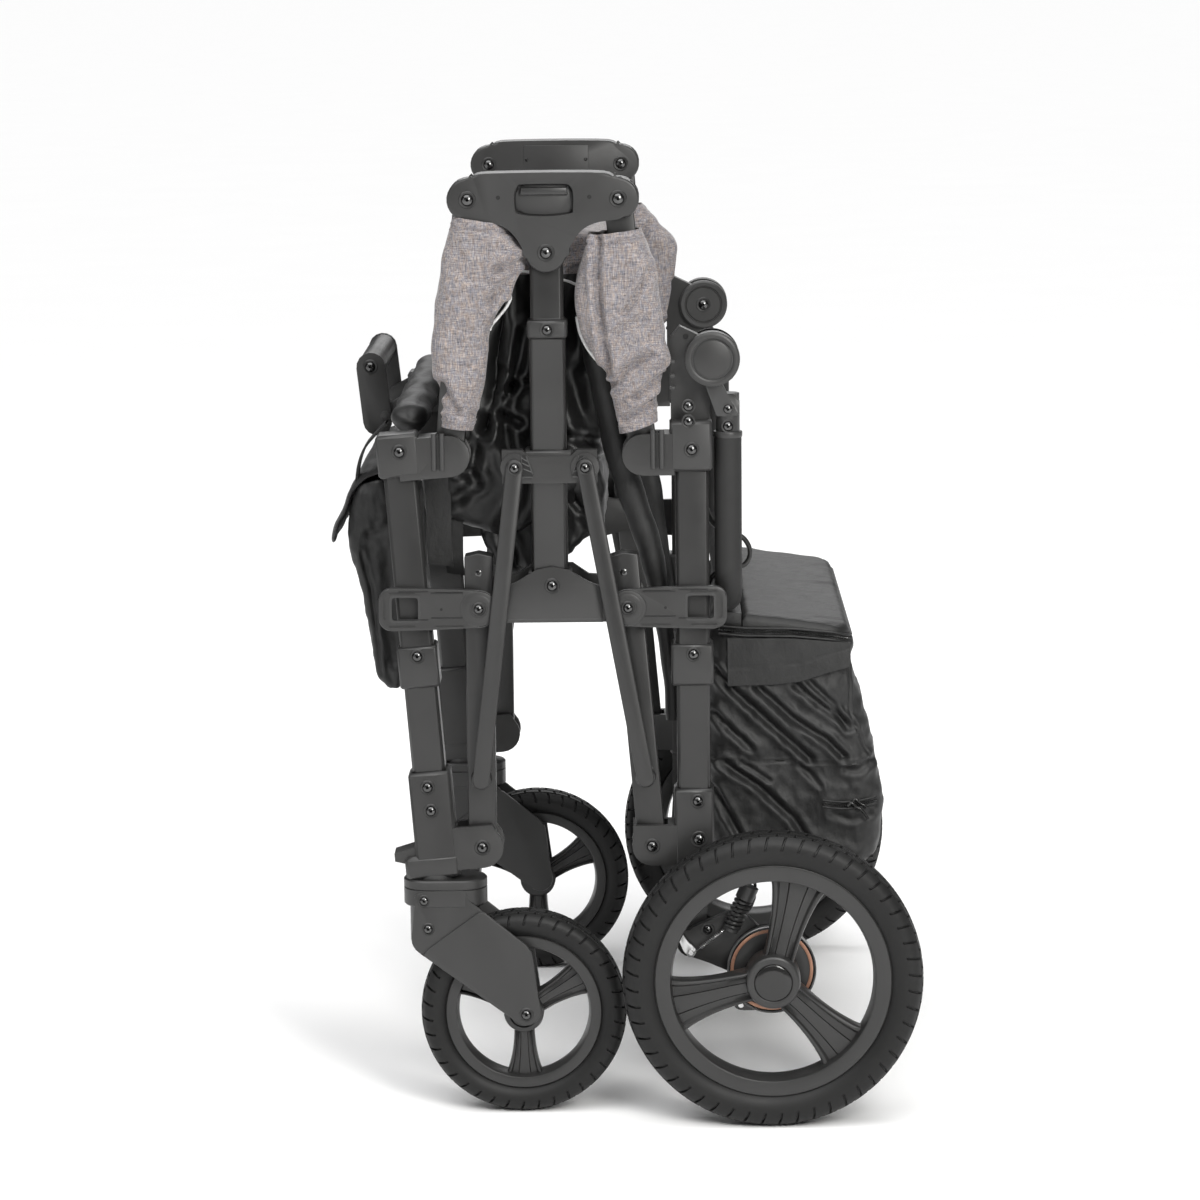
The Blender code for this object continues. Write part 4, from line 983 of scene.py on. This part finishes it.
CABIN_LOWER_LEFT = [(-170, 640), (-168, 610), (-163, 585), (-155, 562), (-143, 545), (-130, 538)]
CABIN_LOWER_RIGHT = [(-44, 668), (-40, 640), (-40, 612), (-44, 590), (-60, 574), (-84, 560)]
LOWER_FOLDS = [([(-150, 620), (-140, 580), (-128, 548)], 6, 7),
               ([(-110, 640), (-104, 600), (-100, 560)], 6, 7),
               ([(-75, 622), (-64, 609), (-52, 604)], 4, 5), ([(-60, 650), (-50, 625), (-47, 600)], 5, 6)]


def heather_top(piece):
    """The band of the cabin above its white piping is the same heather cloth as the sleeves."""
    piece.paint([face for face in piece.bm.faces if face.calc_center_median().z > 0.845], HEATHER)


def cabin():
    """The folded cabin cloth: the gathered upper part and the panel that hangs out below it."""
    half = FRAME_HALF / MM - 37
    upper = soft_body("cabin_cloth_look", CABIN_LEFT, CABIN_RIGHT, half, SATIN, "centre_near", levels=120,
                      face=90,
                      edge=60, corner=26, lines=CABIN_FOLDS, swell=3, noise_size=(60, 60, 96),
                      noise_depth=4.0,
                      seed=3, nodes=["cabin_fabric"], pinch=0.03, paint=heather_top)
    lower = soft_body("cabin_lower_look", CABIN_LOWER_LEFT, CABIN_LOWER_RIGHT, half - 8, SATIN, "centre_near",
                      levels=60, face=70, edge=50, corner=18, lines=LOWER_FOLDS, noise_size=(24, 50, 50),
                      noise_depth=4.5, seed=8, pinch=0.03)


def front_pouch():
    """The pouch on the front, its flap folded over the top with a rounded corner, and a strap above."""
    left = [(-290, 630), (-301, 600), (-299, 559), (-294, 540), (-289, 521), (-284, 495), (-280, 469),
            (-277, 445),
            (-272, 428), (-262, 419)]
    right = [(-262, 634), (-250, 600), (-246, 560), (-244, 530), (-243, 505), (-242, 480), (-243, 460),
             (-244, 440),
             (-246, 426), (-250, 419)]
    body = soft_body("front_pouch_look", left, right, 200, CLOTH, "front_frame", levels=80, face=40, edge=90,
                     corner=9, lines=[([(-287, 559), (-278, 520), (-270, 436)], 2.2, 2.0),
                                      ([(-262, 560), (-256, 500), (-258, 450)], 6, 3.0),
                                      ([(-250, 600), (-262, 585), (-280, 580)], 4, 2.2)],
                     noise_size=(22, 60, 46), noise_depth=3.0, seed=12, nodes=["front_pouch"], pinch=0.02)
    route = rounded([(-252, 634), (-262, 641), (-275, 639), (-288, 632), (-297, 619), (-305, 600),
                     (-313, 583),
                     (-318, 568)], 7, False)
    flap = Piece("front_pouch_flap")
    rows = []
    steps = np.linspace(-1, 1, 90)
    for s in steps:
        y = s * 197 * MM
        end = max(0.0, (abs(s) - 0.90) / 0.10)
        ring = []
        for way in (1, -1):
            order = range(len(route)) if way > 0 else range(len(route) - 1, -1, -1)
            for i in order:
                x, z = route[i]
                nx, nz = route[min(i + 1, len(route) - 1)]
                px, pz = route[max(i - 1, 0)]
                length = math.hypot(nx - px, nz - pz)
                ux, uz = (nx - px) / length, (nz - pz) / length
                share = i / (len(route) - 1)
                tapered = math.sqrt(max(0.05, 1 - max(0, (share - 0.9) / 0.1) ** 2))
                thick = 3.0 * tapered * math.sqrt(max(0.05, 1 - end ** 2))
                wave = 2.0 * noise.noise(Vector((x / 22, s * 5, z / 22)))
                draw = 26 * (1 - math.sqrt(max(0.0, 1 - end ** 2))) * max(0.0, share - 0.45)
                off = way * thick + wave
                ring.append(at(x - ux * draw + uz * off, z - uz * draw - ux * off, y))
        rows.append(ring)
    grid = flap.skin(rows, CLOTH, False, True)
    flap.paint([flap.bm.faces.new(grid[0][::-1]), flap.bm.faces.new(grid[-1])], CLOTH)
    flap.done("front_frame", 60)
    strap = Piece("pouch_straps")
    for sign in (-1, 1):
        route = rounded([(-262, 690), (-272, 680), (-284, 666), (-291, 648), (-294, 626)], 5, False)
        y0, y1 = sign * 150 * MM, sign * 186 * MM
        low = [at(x, z, y0) for x, z in route]
        high = [at(x, z, y1) for x, z in route]
        low2 = [p + Vector((0.0022, 0, -0.001)) for p in low]
        high2 = [p + Vector((0.0022, 0, -0.001)) for p in high]
        strap.skin([low, high, high2, low2], CLOTH, True, False)
    strap.done("front_frame", 40)


def crossbar_pad():
    """The padded bar between the front posts, gathered along its length."""
    centre = (-234, 699)
    rows = []
    for s in np.linspace(-1, 1, 110):
        y = s * 250 * MM
        end = max(0.0, (abs(s) - 0.92) / 0.08)
        radius = 18.5 * math.sqrt(max(0.08, 1 - end ** 2))
        ring = []
        for a in np.linspace(0, 2 * math.pi, 40, endpoint=False):
            lump = 1.6 * noise.noise(Vector((math.cos(a) * 1.6, s * 9,
                                             math.sin(a) * 1.6))) + 0.9 * math.sin(a * 3 + s * 14)
            r = radius + lump
            ring.append(at(centre[0] + r * math.cos(a), centre[1] + 0.8 * r * math.sin(a) + 2, y))
        rows.append(ring)
    piece = Piece("front_crossbar_pad")
    grid = piece.skin(rows, CLOTH, False, True)
    piece.paint([piece.bm.faces.new(grid[0][::-1]), piece.bm.faces.new(grid[-1])], CLOTH)
    for y0, y1 in ((-95, -88), (88, 95)):
        lug = circle(-267, 688, 9, 117, 297, 12) + circle(-240, 702, 9, -63, 117, 12)
        piece.slab(lug, (y0 * MM, y1 * MM), MOULDED, 1.0)
    piece.done("front_frame", 60, ["front_crossbar"])


BASKET_FRONT = [(74, 486), (64, 470), (61, 440), (60, 400), (60, 360), (61, 320), (63, 285), (68, 258),
                (78, 240),
                (94, 234)]
BASKET_REAR = [(207, 476), (211, 463), (208, 448), (216, 414), (226, 374), (235, 330), (240, 300), (240, 270),
               (234, 248), (222, 237)]
BASKET_FOLDS = [([(70, 439), (90, 418), (114, 396), (140, 372), (166, 348)], 5.5, 6.5),
                ([(112, 424), (149, 389), (184, 367), (200, 350)], 5, 6.0),
                ([(70, 394), (86, 378), (106, 360)], 5, 4.5),
                ([(152, 424), (175, 405), (208, 381)], 5, 4.5),
                ([(165, 428), (190, 404), (204, 378)], 4, 3.5),
                ([(79, 344), (114, 320), (149, 286), (161, 267)], 5.5, 6.0),
                ([(70, 316), (80, 296), (93, 272)], 5, 5.0),
                ([(156, 341), (166, 332), (176, 320)], 4, 3.0),
                ([(204, 336), (216, 336), (228, 345)], 5, 3.5),
                ([(190, 290), (208, 284), (226, 290)], 5, 3.0),
                ([(96, 344), (110, 336), (124, 326)], 3.5, 3.0),
                ([(68, 347), (126, 346), (189, 343), (230, 345)], 1.4, 1.6),
                ([(178, 343), (178, 300), (178, 262)], 1.4, 1.6),
                ([(205, 446), (207, 393), (225, 350)], 1.6, 1.8),
                ([(84, 457), (130, 456), (180, 455)], 2.0, 1.4)]


BASKET_CORNER = 24   # how round the basket's rear corners are, seen from above


def zipper(piece, route, teeth=2.6):
    """A closed zip's row of coil; the taped edges beside it are added where it is used."""
    route = [Vector(p) for p in route]
    reach = np.concatenate([[0], np.cumsum([(b - a).length for a, b in zip(route, route[1:])])])
    count = int(reach[-1] / (teeth * MM) * 4)
    spots = np.linspace(0, reach[-1], count)
    line = [Vector([np.interp(s, reach, [p[k] for p in route]) for k in range(3)]) for s in spots]
    piece.tube(line, 1.0 + 0.55 * np.sin(np.arange(count) * math.pi / 2), GLOSS, 8)


def grid_border(grid):
    """The border of a grid of vertices, in order round it."""
    return grid[0] + [row[-1] for row in grid[1:]] + grid[-1][-2::-1] + [row[0] for row in grid[-2:0:-1]]


def basket():
    """Walls with stitched seams and slack folds, a zipped lid, a side flap and a zipped side pocket."""
    half = 224
    crisp = [(points, width * 0.72, depth * 0.8) for points, width, depth in BASKET_FOLDS]
    walls = soft_body("storage_basket_look", BASKET_FRONT, BASKET_REAR, half, CLOTH, "rear_frame", levels=130,
                      face=110, edge=50, corner=BASKET_CORNER, lines=crisp, swell=3, noise_size=(30, 60, 40),
                      noise_depth=2.0, seed=21, nodes=["storage_basket"], close=False)
    floor_piece = Piece("basket_floor_look")
    floor_piece.slab(rounded([(92, 239), (160, 236), (222, 239), (226, 243), (160, 241), (90, 243)], 3),
                     (-0.214, 0.214), CLOTH, 1.0)
    floor_piece.done("rear_frame")
    strip = Piece("basket_top_strip")
    strip.slab([(73, 487), (97.4, 484), (97.4, 497.5), (90, 499.5), (76, 500.5), (73, 498)],
               (-0.222, 0.222), CLOTH, 1.6)
    strip.done("rear_frame")
    trim = Piece("basket_zip")
    reach, bend = half + 1.5, BASKET_CORNER
    quarter = np.radians(np.arange(-90, 1, 6))
    plan = [(x, -reach) for x in np.linspace(74, 209 - bend, 30)]
    plan += [(209 - bend + bend * math.cos(a), -reach + bend + bend * math.sin(a)) for a in quarter]
    plan += [(209, y) for y in np.linspace(-reach + bend, 0, 20)[1:]]
    plan += [(x, -y) for x, y in reversed(plan[:-1])]
    loop = [at(x, np.interp(x, [74, 100, 150, 190, 209], [483, 480, 479, 475, 469.5]), y * MM)
            for x, y in plan]
    zipper(trim, loop)
    for drop, size in ((4.2, 1.5), (-3.6, 1.3)):
        trim.tube([p - Vector((0, 0, drop * MM)) for p in loop], size, CLOTH, 8)
    trim.done("rear_frame", 60)
    lid = Piece("basket_lid_look")
    rows = []
    spans = np.linspace(-1, 1, 150)
    for s in spans:
        y = s * (half - 1)
        ring = []
        for top in (True, False):
            order = np.linspace(0, 1, 46) if top else np.linspace(1, 0, 46)
            for t in order:
                past = max(0.0, abs(y) - (half - 1 - BASKET_CORNER))
                back = 207 - BASKET_CORNER + math.sqrt(max(0.0, BASKET_CORNER ** 2 - past ** 2))
                x = 98.5 + t * (back - 98.5)
                base = 489.3 - (x - 98) * 0.1343
                rim = min(1.0, (1 - abs(s)) * half / 9.0, (1 - t) * 108 / 9.0 + 0.02, t * 108 / 6.0 + 0.02)
                rim = math.sqrt(max(0.0, 1 - (1 - rim) ** 2))
                gather = math.exp(-((1 - t) / 0.42) ** 2) * 2.6 * noise.noise(Vector((t * 1.6, s * 17, 3.1)))
                gather += 1.6 * noise.fractal(Vector((t * 2.4, s * 5.2, 0.4)), 0.8, 2.1, 3)
                z = base + (2.0 + 6.8 * rim + gather * rim if top else 0.4 - 5.2 * (1 - t))
                ring.append(at(x, z, y * MM))
        rows.append(ring)
    grid = lid.skin(rows, CLOTH, False, True)
    lid.paint([lid.bm.faces.new(grid[0][::-1]), lid.bm.faces.new(grid[-1])], CLOTH)
    lid.done("basket_lid", 60, ["basket_lid"])
    for sign, word in ((-1, "near"), (1, "far")):
        flap = Piece(f"basket_flap_{word}")
        rows = []
        for t in np.linspace(0, 1, 22):
            row = []
            for u in np.linspace(0, 1, 60):
                x = 83 + u * (207 - 83)
                low = np.interp(x, [83, 126, 156, 182, 207], [425, 426, 429, 437, 444])
                high = np.interp(x, [83, 150, 207], [474, 473, 468])
                z = high + (low - high) * t
                lift = 1.0 + 1.6 * t + 1.2 * noise.noise(Vector((x / 26, z / 30, 4.0)))
                lift += 1.5 * t * max(0, u - 0.6)
                stitch = 0.7 * math.exp(-(((z - low - 19) / 0.8) ** 2))
                stitch += 0.7 * math.exp(-(((u * 124 - 3) / 0.8) ** 2))
                row.append(at(x, z, sign * (half + 3.4 + lift - stitch) * MM))
            rows.append(row)
        back_rows = [[p + Vector((0, -sign * 0.0014, 0)) for p in row] for row in rows]
        front_grid = flap.skin(rows, CLOTH)
        back_grid = flap.skin(back_rows, CLOTH)
        outer, inner = grid_border(front_grid), grid_border(back_grid)
        flap.paint([flap.bm.faces.new((outer[k], outer[(k + 1) % len(outer)], inner[(k + 1) % len(inner)],
                                       inner[k]))
                    for k in range(len(outer))], CLOTH)
        flap.done("rear_frame", 60)
        pocket = Piece(f"basket_pocket_{word}")
        route = [at(x, z, sign * (half + 3.2) * MM) for x, z in
                 rounded([(179, 302), (190, 300.5), (203, 300), (220, 302), (234, 306)], 6, False)]
        zipper(pocket, route, 2.2)
        for drop in (3.4, -3.4):
            pocket.tube([p + Vector((0, 0, drop * MM)) for p in route], 1.1, CLOTH, 8)
        pull = [at(x, z, sign * (half + 6) * MM) for x, z in
                rounded([(204, 300), (208, 303), (213, 299), (218, 296), (222, 291), (225, 286)], 5, False)]
        pocket.tube(pull, 1.5, GLOSS, 8)
        pocket.tube([p + Vector((0.004, -sign * 0.001, 0.0035)) for p in pull[:18]], 1.3, GLOSS, 8)
        pocket.done("rear_frame", 60)


def handle_grip():
    """The foam-covered push bar: smooth, round, with a seam at each end."""
    x = 83
    low = 520
    reach = FRAME_HALF / MM + 0.5
    corner = 38
    def route(top, count=10):
        made = [(x, -reach, top + (low + corner - top) * t) for t in np.linspace(0, 1, count)]
        made += [(x, -reach + corner - corner * math.cos(math.radians(a)),
                  low + corner - corner * math.sin(math.radians(a))) for a in range(5, 91, 5)]
        made += [(x, (-reach + corner) * (1 - t), low) for t in np.linspace(0.1, 1, 8)]
        return made + [(px, -py, pz) for px, py, pz in reversed(made[:-1])]
    grip = Piece("push_handle_grip_look")
    line = [at(px, pz, py * MM) for px, py, pz in route(690, 14)]
    grip.tube(line, 13.6, FOAM, 36)
    grip.done("push_handle", 60, ["push_handle_grip"])
    bars = Piece("push_handle_necks")
    for sign in (-1, 1):
        bars.tube([at(x, 722, sign * reach * MM), at(x, 688, sign * reach * MM)], 11.9, PAINT, 32)
        bars.turn([(13.9, 0), (14.4, 1), (14.4, 5), (13.9, 6), (11.5, 6.2)],
                  Matrix.Translation(at(x, 686, sign * reach * MM)), MOULDED, 36)
    bars.done("push_handle", 40)


def handle_discs(side, word):
    """The push handle's round hinge covers with a recessed cap, and the ribbed hinge behind."""
    place = facing(side, 68, 765, 19.6)
    disc = Piece(f"handle_disc_{word}")
    disc.turn([(0.2, 1.4), (17.5, 1.4), (18.6, 0.9), (19.0, 0.2), (20.2, 0.2), (20.6, 1.5), (22.0, 2.2),
               (25.0, 2.0),
               (26.6, 0.8), (27.1, -2), (27.1, -9)], place, MOULDED, 64)
    disc.done("push_handle", 34)
    rivets = Piece(f"hinge_rivets_{word}")
    for x, z in ((44, 719), (44, 704)):
        bolt(rivets, facing(side, x, z, 19.4), 4.6)
    ribs = depths(side, 6, 12)
    for z in (762, 748, 736):
        rivets.slab(rectangle(26, 31, z - 1.5, z + 1.5, 0.8, 2), ribs, MOULDED, 0.4)
    rivets.turn([(0.2, 0.4), (2.2, 0.4), (2.6, 0)], facing(side, 42, 786, 0.2), RUBBER_AND_SHADE, 12)
    rivets.done("rear_frame")


def cable():
    """The brake cable's slack loop, out of the near post and back down to the brake."""
    y = -(FRAME_HALF / MM - 23.5)
    route = [(60, y, 640), (61, y, 618), (66, y, 600), (76, y, 590), (88, y + 2, 586), (98, y + 3, 581),
             (104, y + 4, 572), (105, y + 4, 562), (100, y + 3, 554), (91, y + 2, 551), (80, y, 550),
             (70, y, 545), (63, y, 534), (60, y, 515), (60, y, 480), (60, y, 440), (60, y, 400),
             (60, y, 350), (61, y, 300),
             (64, y, 250), (68, y + 2, 226)]
    line = [at(p[0], p[2], p[1] * MM) for p in rounded(route, 8, False)]
    piece = Piece("brake_cable_look")
    piece.tube(line, 2.5, CABLE, 14)
    obj = piece.done("rear_frame", 60, ["brake_cable"])


def pull_handle_trim():
    """The round grip bar's end bolts."""
    piece = Piece("pull_handle_bolts")
    for sign in (-1, 1):
        place = (Matrix.Translation(at(-281.5, 738.5, sign * 101.5 * MM))
                 @ Matrix.Rotation(math.radians(-90 * sign), 4, "X"))
        bolt(piece, place, 5.0)
    piece.done("pull_handle")


def caster_housing(side, word):
    """The caster's rounded housing and its two creased fork plates."""
    piece = Piece(f"caster_fork_look_{word}")

    def block(front, rear, half, levels, clip=None):
        rows = []
        for z, inset in levels:
            ring = []
            for a in np.radians(np.arange(90, 271, 9)):
                ring.append((front + (half - inset) * math.cos(a), (half - inset) * math.sin(a)))
            if clip is None:
                for a in np.radians(np.arange(-90, 91, 9)):
                    ring.append((rear + (half - inset) * math.cos(a), (half - inset) * math.sin(a)))
            else:
                ring += [(clip, -(half - inset)), (clip, half - inset)]
            rows.append([at(x, z, side * FRAME_HALF + y * MM) for x, y in ring])
        grid = piece.skin(rows, MOULDED, False, True)
        piece.paint([piece.bm.faces.new(grid[0][::-1]), piece.bm.faces.new(grid[-1])], MOULDED)

    block(-219, -188, 26.5,
          [(215.5, 1.6), (217, 0), (232.6, 0), (233.4, 0.9), (234.2, 0), (241.5, 0), (243, 1.5)])
    block(-215, 0, 24.5, [(176, 2), (178, 0), (216, 0)], -207)
    block(-213, -213, 21, [(242, 0), (248, 0)])
    hub = [(-123 + 14.5 * math.cos(math.radians(a)),
            108 + 14.5 * math.sin(math.radians(a))) for a in range(0, -136, -15)]
    lower = [(-221, 173.5), (-170, 211.5), (-164, 211), (-122, 177), (-116.5, 169)] + hub + [(-227, 167.5)]
    upper = rounded([(-233, 219.5), (-229, 231), (-185, 233.5), (-180.5, 224), (-166, 212), (-172, 204),
                     (-218, 169),
                     (-228, 168), (-237, 179), (-236, 196)], 4)
    for y0, y1, y2 in ((23.8, 26.0, 28.0), (-23.8, -26.0, -28.0)):
        piece.slab(lower, depths(side, *sorted((y0, y2))), MOULDED, 1.3)
        piece.slab(upper, depths(side, *sorted((y0, y1))), MOULDED, 0.8)
    piece.done(f"caster_{word}", 32, [f"caster_fork_{word}"])


def hanging_webs(side, word):
    """Black webbing that hangs beside the front post from the cabin cloth."""
    webs = Piece(f"hanging_web_{word}")
    for x0, x1, top, low, y in ((-224, -199, 668, 556, 34), (-206, -188, 640, 545, 44)):
        rows = []
        for t in np.linspace(0, 1, 18):
            z = top + (low - top) * t
            drift = 9 * t + 2 * math.sin(5 * t)
            depth = side * (FRAME_HALF - (y + 2 * math.sin(4 * t)) * MM)
            rows.append([at(x0 + drift, z, depth), at(x1 + drift, z - 3, depth),
                         at(x1 + drift, z - 3, depth + 0.0018), at(x0 + drift, z, depth + 0.0018)])
        grid = webs.skin(rows, CLOTH, False, True)
        webs.paint([webs.bm.faces.new(grid[0][::-1]), webs.bm.faces.new(grid[-1])], CLOTH)
    webs.done(f"centre_{word}", 40)


def latch_details(side, word):
    """The embossed slots of the latch arms, drawn as near-black lines of painted shade, and the round cover over
    each arm's pivot.
    """
    for end, body, flip in (("front", f"latch_front_{word}", 1), ("rear", f"latch_rear_{word}", -1)):
        piece = Piece(f"latch_details_{end}_{word}")
        middle = -91
        for x0, x1, z in ((-244, -215, 537.2), (-212, -181, 535.4), (-244, -215, 508.8), (-212, -181, 510.6)):
            a, b = (middle + flip * (x0 - middle), middle + flip * (x1 - middle))
            # Painted shade: near-black lines stand for the shade inside the slots.
            piece.tube([at(a, z, off_plane(side, 23.0)), at(b, z, off_plane(side, 23.0))],
                       0.7, RUBBER_AND_SHADE, 8)
        place = facing(side, middle + flip * (-165 - middle), 519, 22.6)
        piece.turn([(8.4, 0.4), (8.8, 0.9), (13.4, 0.9), (14.2, 0.5), (14.6, -0.4)], place, MOULDED, 44)
        piece.done(body)


def inner_details(side, word):
    """What shows on the inner faces: the top bracket's cover panel with screws, and the hinge disc's bolt."""
    panel = Piece(f"top_bracket_panel_{word}")
    panel.slab(rectangle(-131, -59, 905, 944, 1.5, 3), depths(side, -21.0, -19.5), MOULDED, 0.5)
    inward = -2 * FRAME_HALF / MM
    for x, z in ((-128, 928), (-62, 928)):
        bolt(panel, facing(-side, x, z, inward + 20.9), 1.9, False)
    for x, z in ((-170, 923), (-23, 923)):
        bolt(panel, facing(-side, x, z, inward + 20.4), 5.4)
    panel.done(f"centre_{word}")
    disc = Piece(f"handle_disc_inner_{word}")
    place = facing(-side, 68, 765, inward + 22.4)
    disc.turn([(0.2, 0.4), (18.6, 0.4), (19.4, -0.4), (20.4, -0.4), (21.0, 1.2), (24.8, 1.4), (26.6, 0),
               (26.8, -4)],
              place, MOULDED, 56)
    bolt(disc, facing(-side, 68, 765, inward + 22.9), 5.4)
    disc.done("push_handle", 34)


def slider_ribs(side, word):
    """Triangular ribbed pockets either side of the slider's flat label area; each pocket is a near-black slab of
    painted shade under raised ribs.
    """
    piece = Piece(f"slider_ribs_{word}")
    face = 23.0
    for x, way in ((-115.5, 1), (-64.5, -1)):
        corners = [(x - way * 5.5, 650.5), (x + way * 6.0, 650.5), (x + way * 6.0, 653.5),
                   (x - way * 0.5, 671.5),
                   (x - way * 5.5, 671.5)]
        # Painted shade: a near-black slab stands for the pocket's recess.
        piece.slab(corners, depths(side, face - 2, face + 0.25), RUBBER_AND_SHADE)
        for start, end in ((0, 1), (2, 3), (4, 0)):
            piece.tube([at(*corners[start], off_plane(side, face + 0.3)),
                        at(*corners[end], off_plane(side, face + 0.3))], 0.75, MOULDED, 8)
        for low in (656.5, 662.0, 667.0):
            reach = np.interp(low, [653.5, 671.5], [6.0, -0.5])
            piece.tube([at(x - way * 5.5, low + 3, off_plane(side, face + 0.2)),
                        at(x + way * reach, low - 1, off_plane(side, face + 0.2))], 0.7, MOULDED, 8)
    piece.done(f"slider_{word}")


def hinge_barrels(side, word):
    """The vertical hinge barrels on the top brackets of the posts, with the grooves beside them; each groove is a
    near-black strip of painted shade.
    """
    for body, places, low, high in (("rear_frame", (9.0, 17.5), 657.5, 696),
                                    ("front_frame", (-199, -207), 657.5, 694)):
        piece = Piece(f"hinge_barrels_{body}_{word}")
        for x in places:
            piece.tube([at(x, low, off_plane(side, 18.6)), at(x, high, off_plane(side, 18.6))],
                       2.7, MOULDED, 20)
        middle = sum(places) / 2
        # Painted shade: a near-black strip stands for the groove between the barrels.
        piece.slab(rectangle(middle - 1.0, middle + 1.0, low + 1, high - 1, 0.4, 2), depths(side, 17, 20.2),
                   RUBBER_AND_SHADE)
        piece.done(body)


for word, side in SIDES.items():
    caster_housing(side, word)
    hanging_webs(side, word)
    latch_details(side, word)
    inner_details(side, word)
    slider_ribs(side, word)
    hinge_barrels(side, word)
    sleeve("front", side, word, FRONT_LEFT, FRONT_RIGHT, FRONT_FOLDS, f"upper_front_{word}", 4 + side)
    sleeve("rear", side, word, REAR_LEFT, REAR_RIGHT if side < 0 else FAR_REAR_RIGHT, REAR_FOLDS,
           f"upper_rear_{word}", 9 + side)
    panel_edges(side, word)
    handle_discs(side, word)
cabin()
front_pouch()
crossbar_pad()
basket()
handle_grip()
cable()
pull_handle_trim()


# ---------------------------------------------------------------- camera, light, floor

def add_camera():
    pitch, yaw, roll = (math.radians(angle) for angle in (9.74, 0.66, -0.6))
    forward = Vector((-math.sin(yaw) * math.cos(pitch), math.cos(yaw) * math.cos(pitch), -math.sin(pitch)))
    right = forward.cross(Vector((0, 0, 1))).normalized()
    up = right.cross(forward)
    turned_right = right * math.cos(roll) + up * math.sin(roll)
    turned_up = up * math.cos(roll) - right * math.sin(roll)
    data = bpy.data.cameras.new("camera")
    data.sensor_width = 36
    data.lens = 119.25
    made = bpy.data.objects.new("camera", data)
    turn = Matrix((turned_right, turned_up, -forward)).transposed().to_4x4()
    made.matrix_world = Matrix.Translation((SHIFT, -4.181, 1.1928)) @ turn
    scene.collection.objects.link(made)
    scene.camera = made


def area_light(name, place, aim, size, power, tone=(1, 1, 1)):
    data = bpy.data.lights.new(name, "AREA")
    data.shape = "RECTANGLE"
    data.size, data.size_y = size
    data.energy = power
    data.color = tone
    made = bpy.data.objects.new(name, data)
    made.location = place
    made.rotation_euler = (Vector(aim) - Vector(place)).to_track_quat("-Z", "Y").to_euler()
    scene.collection.objects.link(made)


def studio():
    """A white room: the camera sees it white, and the object is lit a little less by it than by the lamps."""
    world = bpy.data.worlds.new("studio")
    scene.world = world
    world.use_nodes = True
    nodes, links = world.node_tree.nodes, world.node_tree.links
    background = nodes["Background"]
    background.inputs["Color"].default_value = (1, 1, 1, 1)
    seen = nodes.new("ShaderNodeLightPath")
    strength = nodes.new("ShaderNodeMapRange")
    strength.inputs["To Min"].default_value = 0.12
    strength.inputs["To Max"].default_value = 1.05
    links.new(seen.outputs["Is Camera Ray"], strength.inputs["Value"])
    links.new(strength.outputs["Result"], background.inputs["Strength"])
    bpy.ops.mesh.primitive_plane_add(size=400)
    floor = bpy.context.object
    floor.name = "floor"
    paper, nodes, links, shader = new_material("floor_look", 0.9, specular=0.1)
    links.new(ramp(nodes, links, noise_at(nodes, links, (3, 3, 3)), [(0.3, grey(0.96)), (0.7, grey(0.97))]),
              shader.inputs["Base Color"])
    floor.data.materials.append(paper)
    sun = bpy.data.lights.new("sky", "SUN")
    sun.energy = 3.1
    sun.angle = math.radians(70)
    holder = bpy.data.objects.new("sky", sun)
    holder.rotation_euler = (math.radians(18), math.radians(-8), 0)
    scene.collection.objects.link(holder)
    area_light("key", (1.3, -2.9, 2.1), (0.05, 0, 0.5), (0.8, 1.5), 80, (1, 0.992, 0.965))
    area_light("fill", (-2.6, -2.2, 1.5), (0, 0, 0.5), (0.6, 1.8), 5)
    area_light("rim", (0.3, 3.0, 2.2), (0, 0, 0.6), (2.5, 1.2), 30)
    scene.view_settings.view_transform = "Standard"


add_camera()
studio()
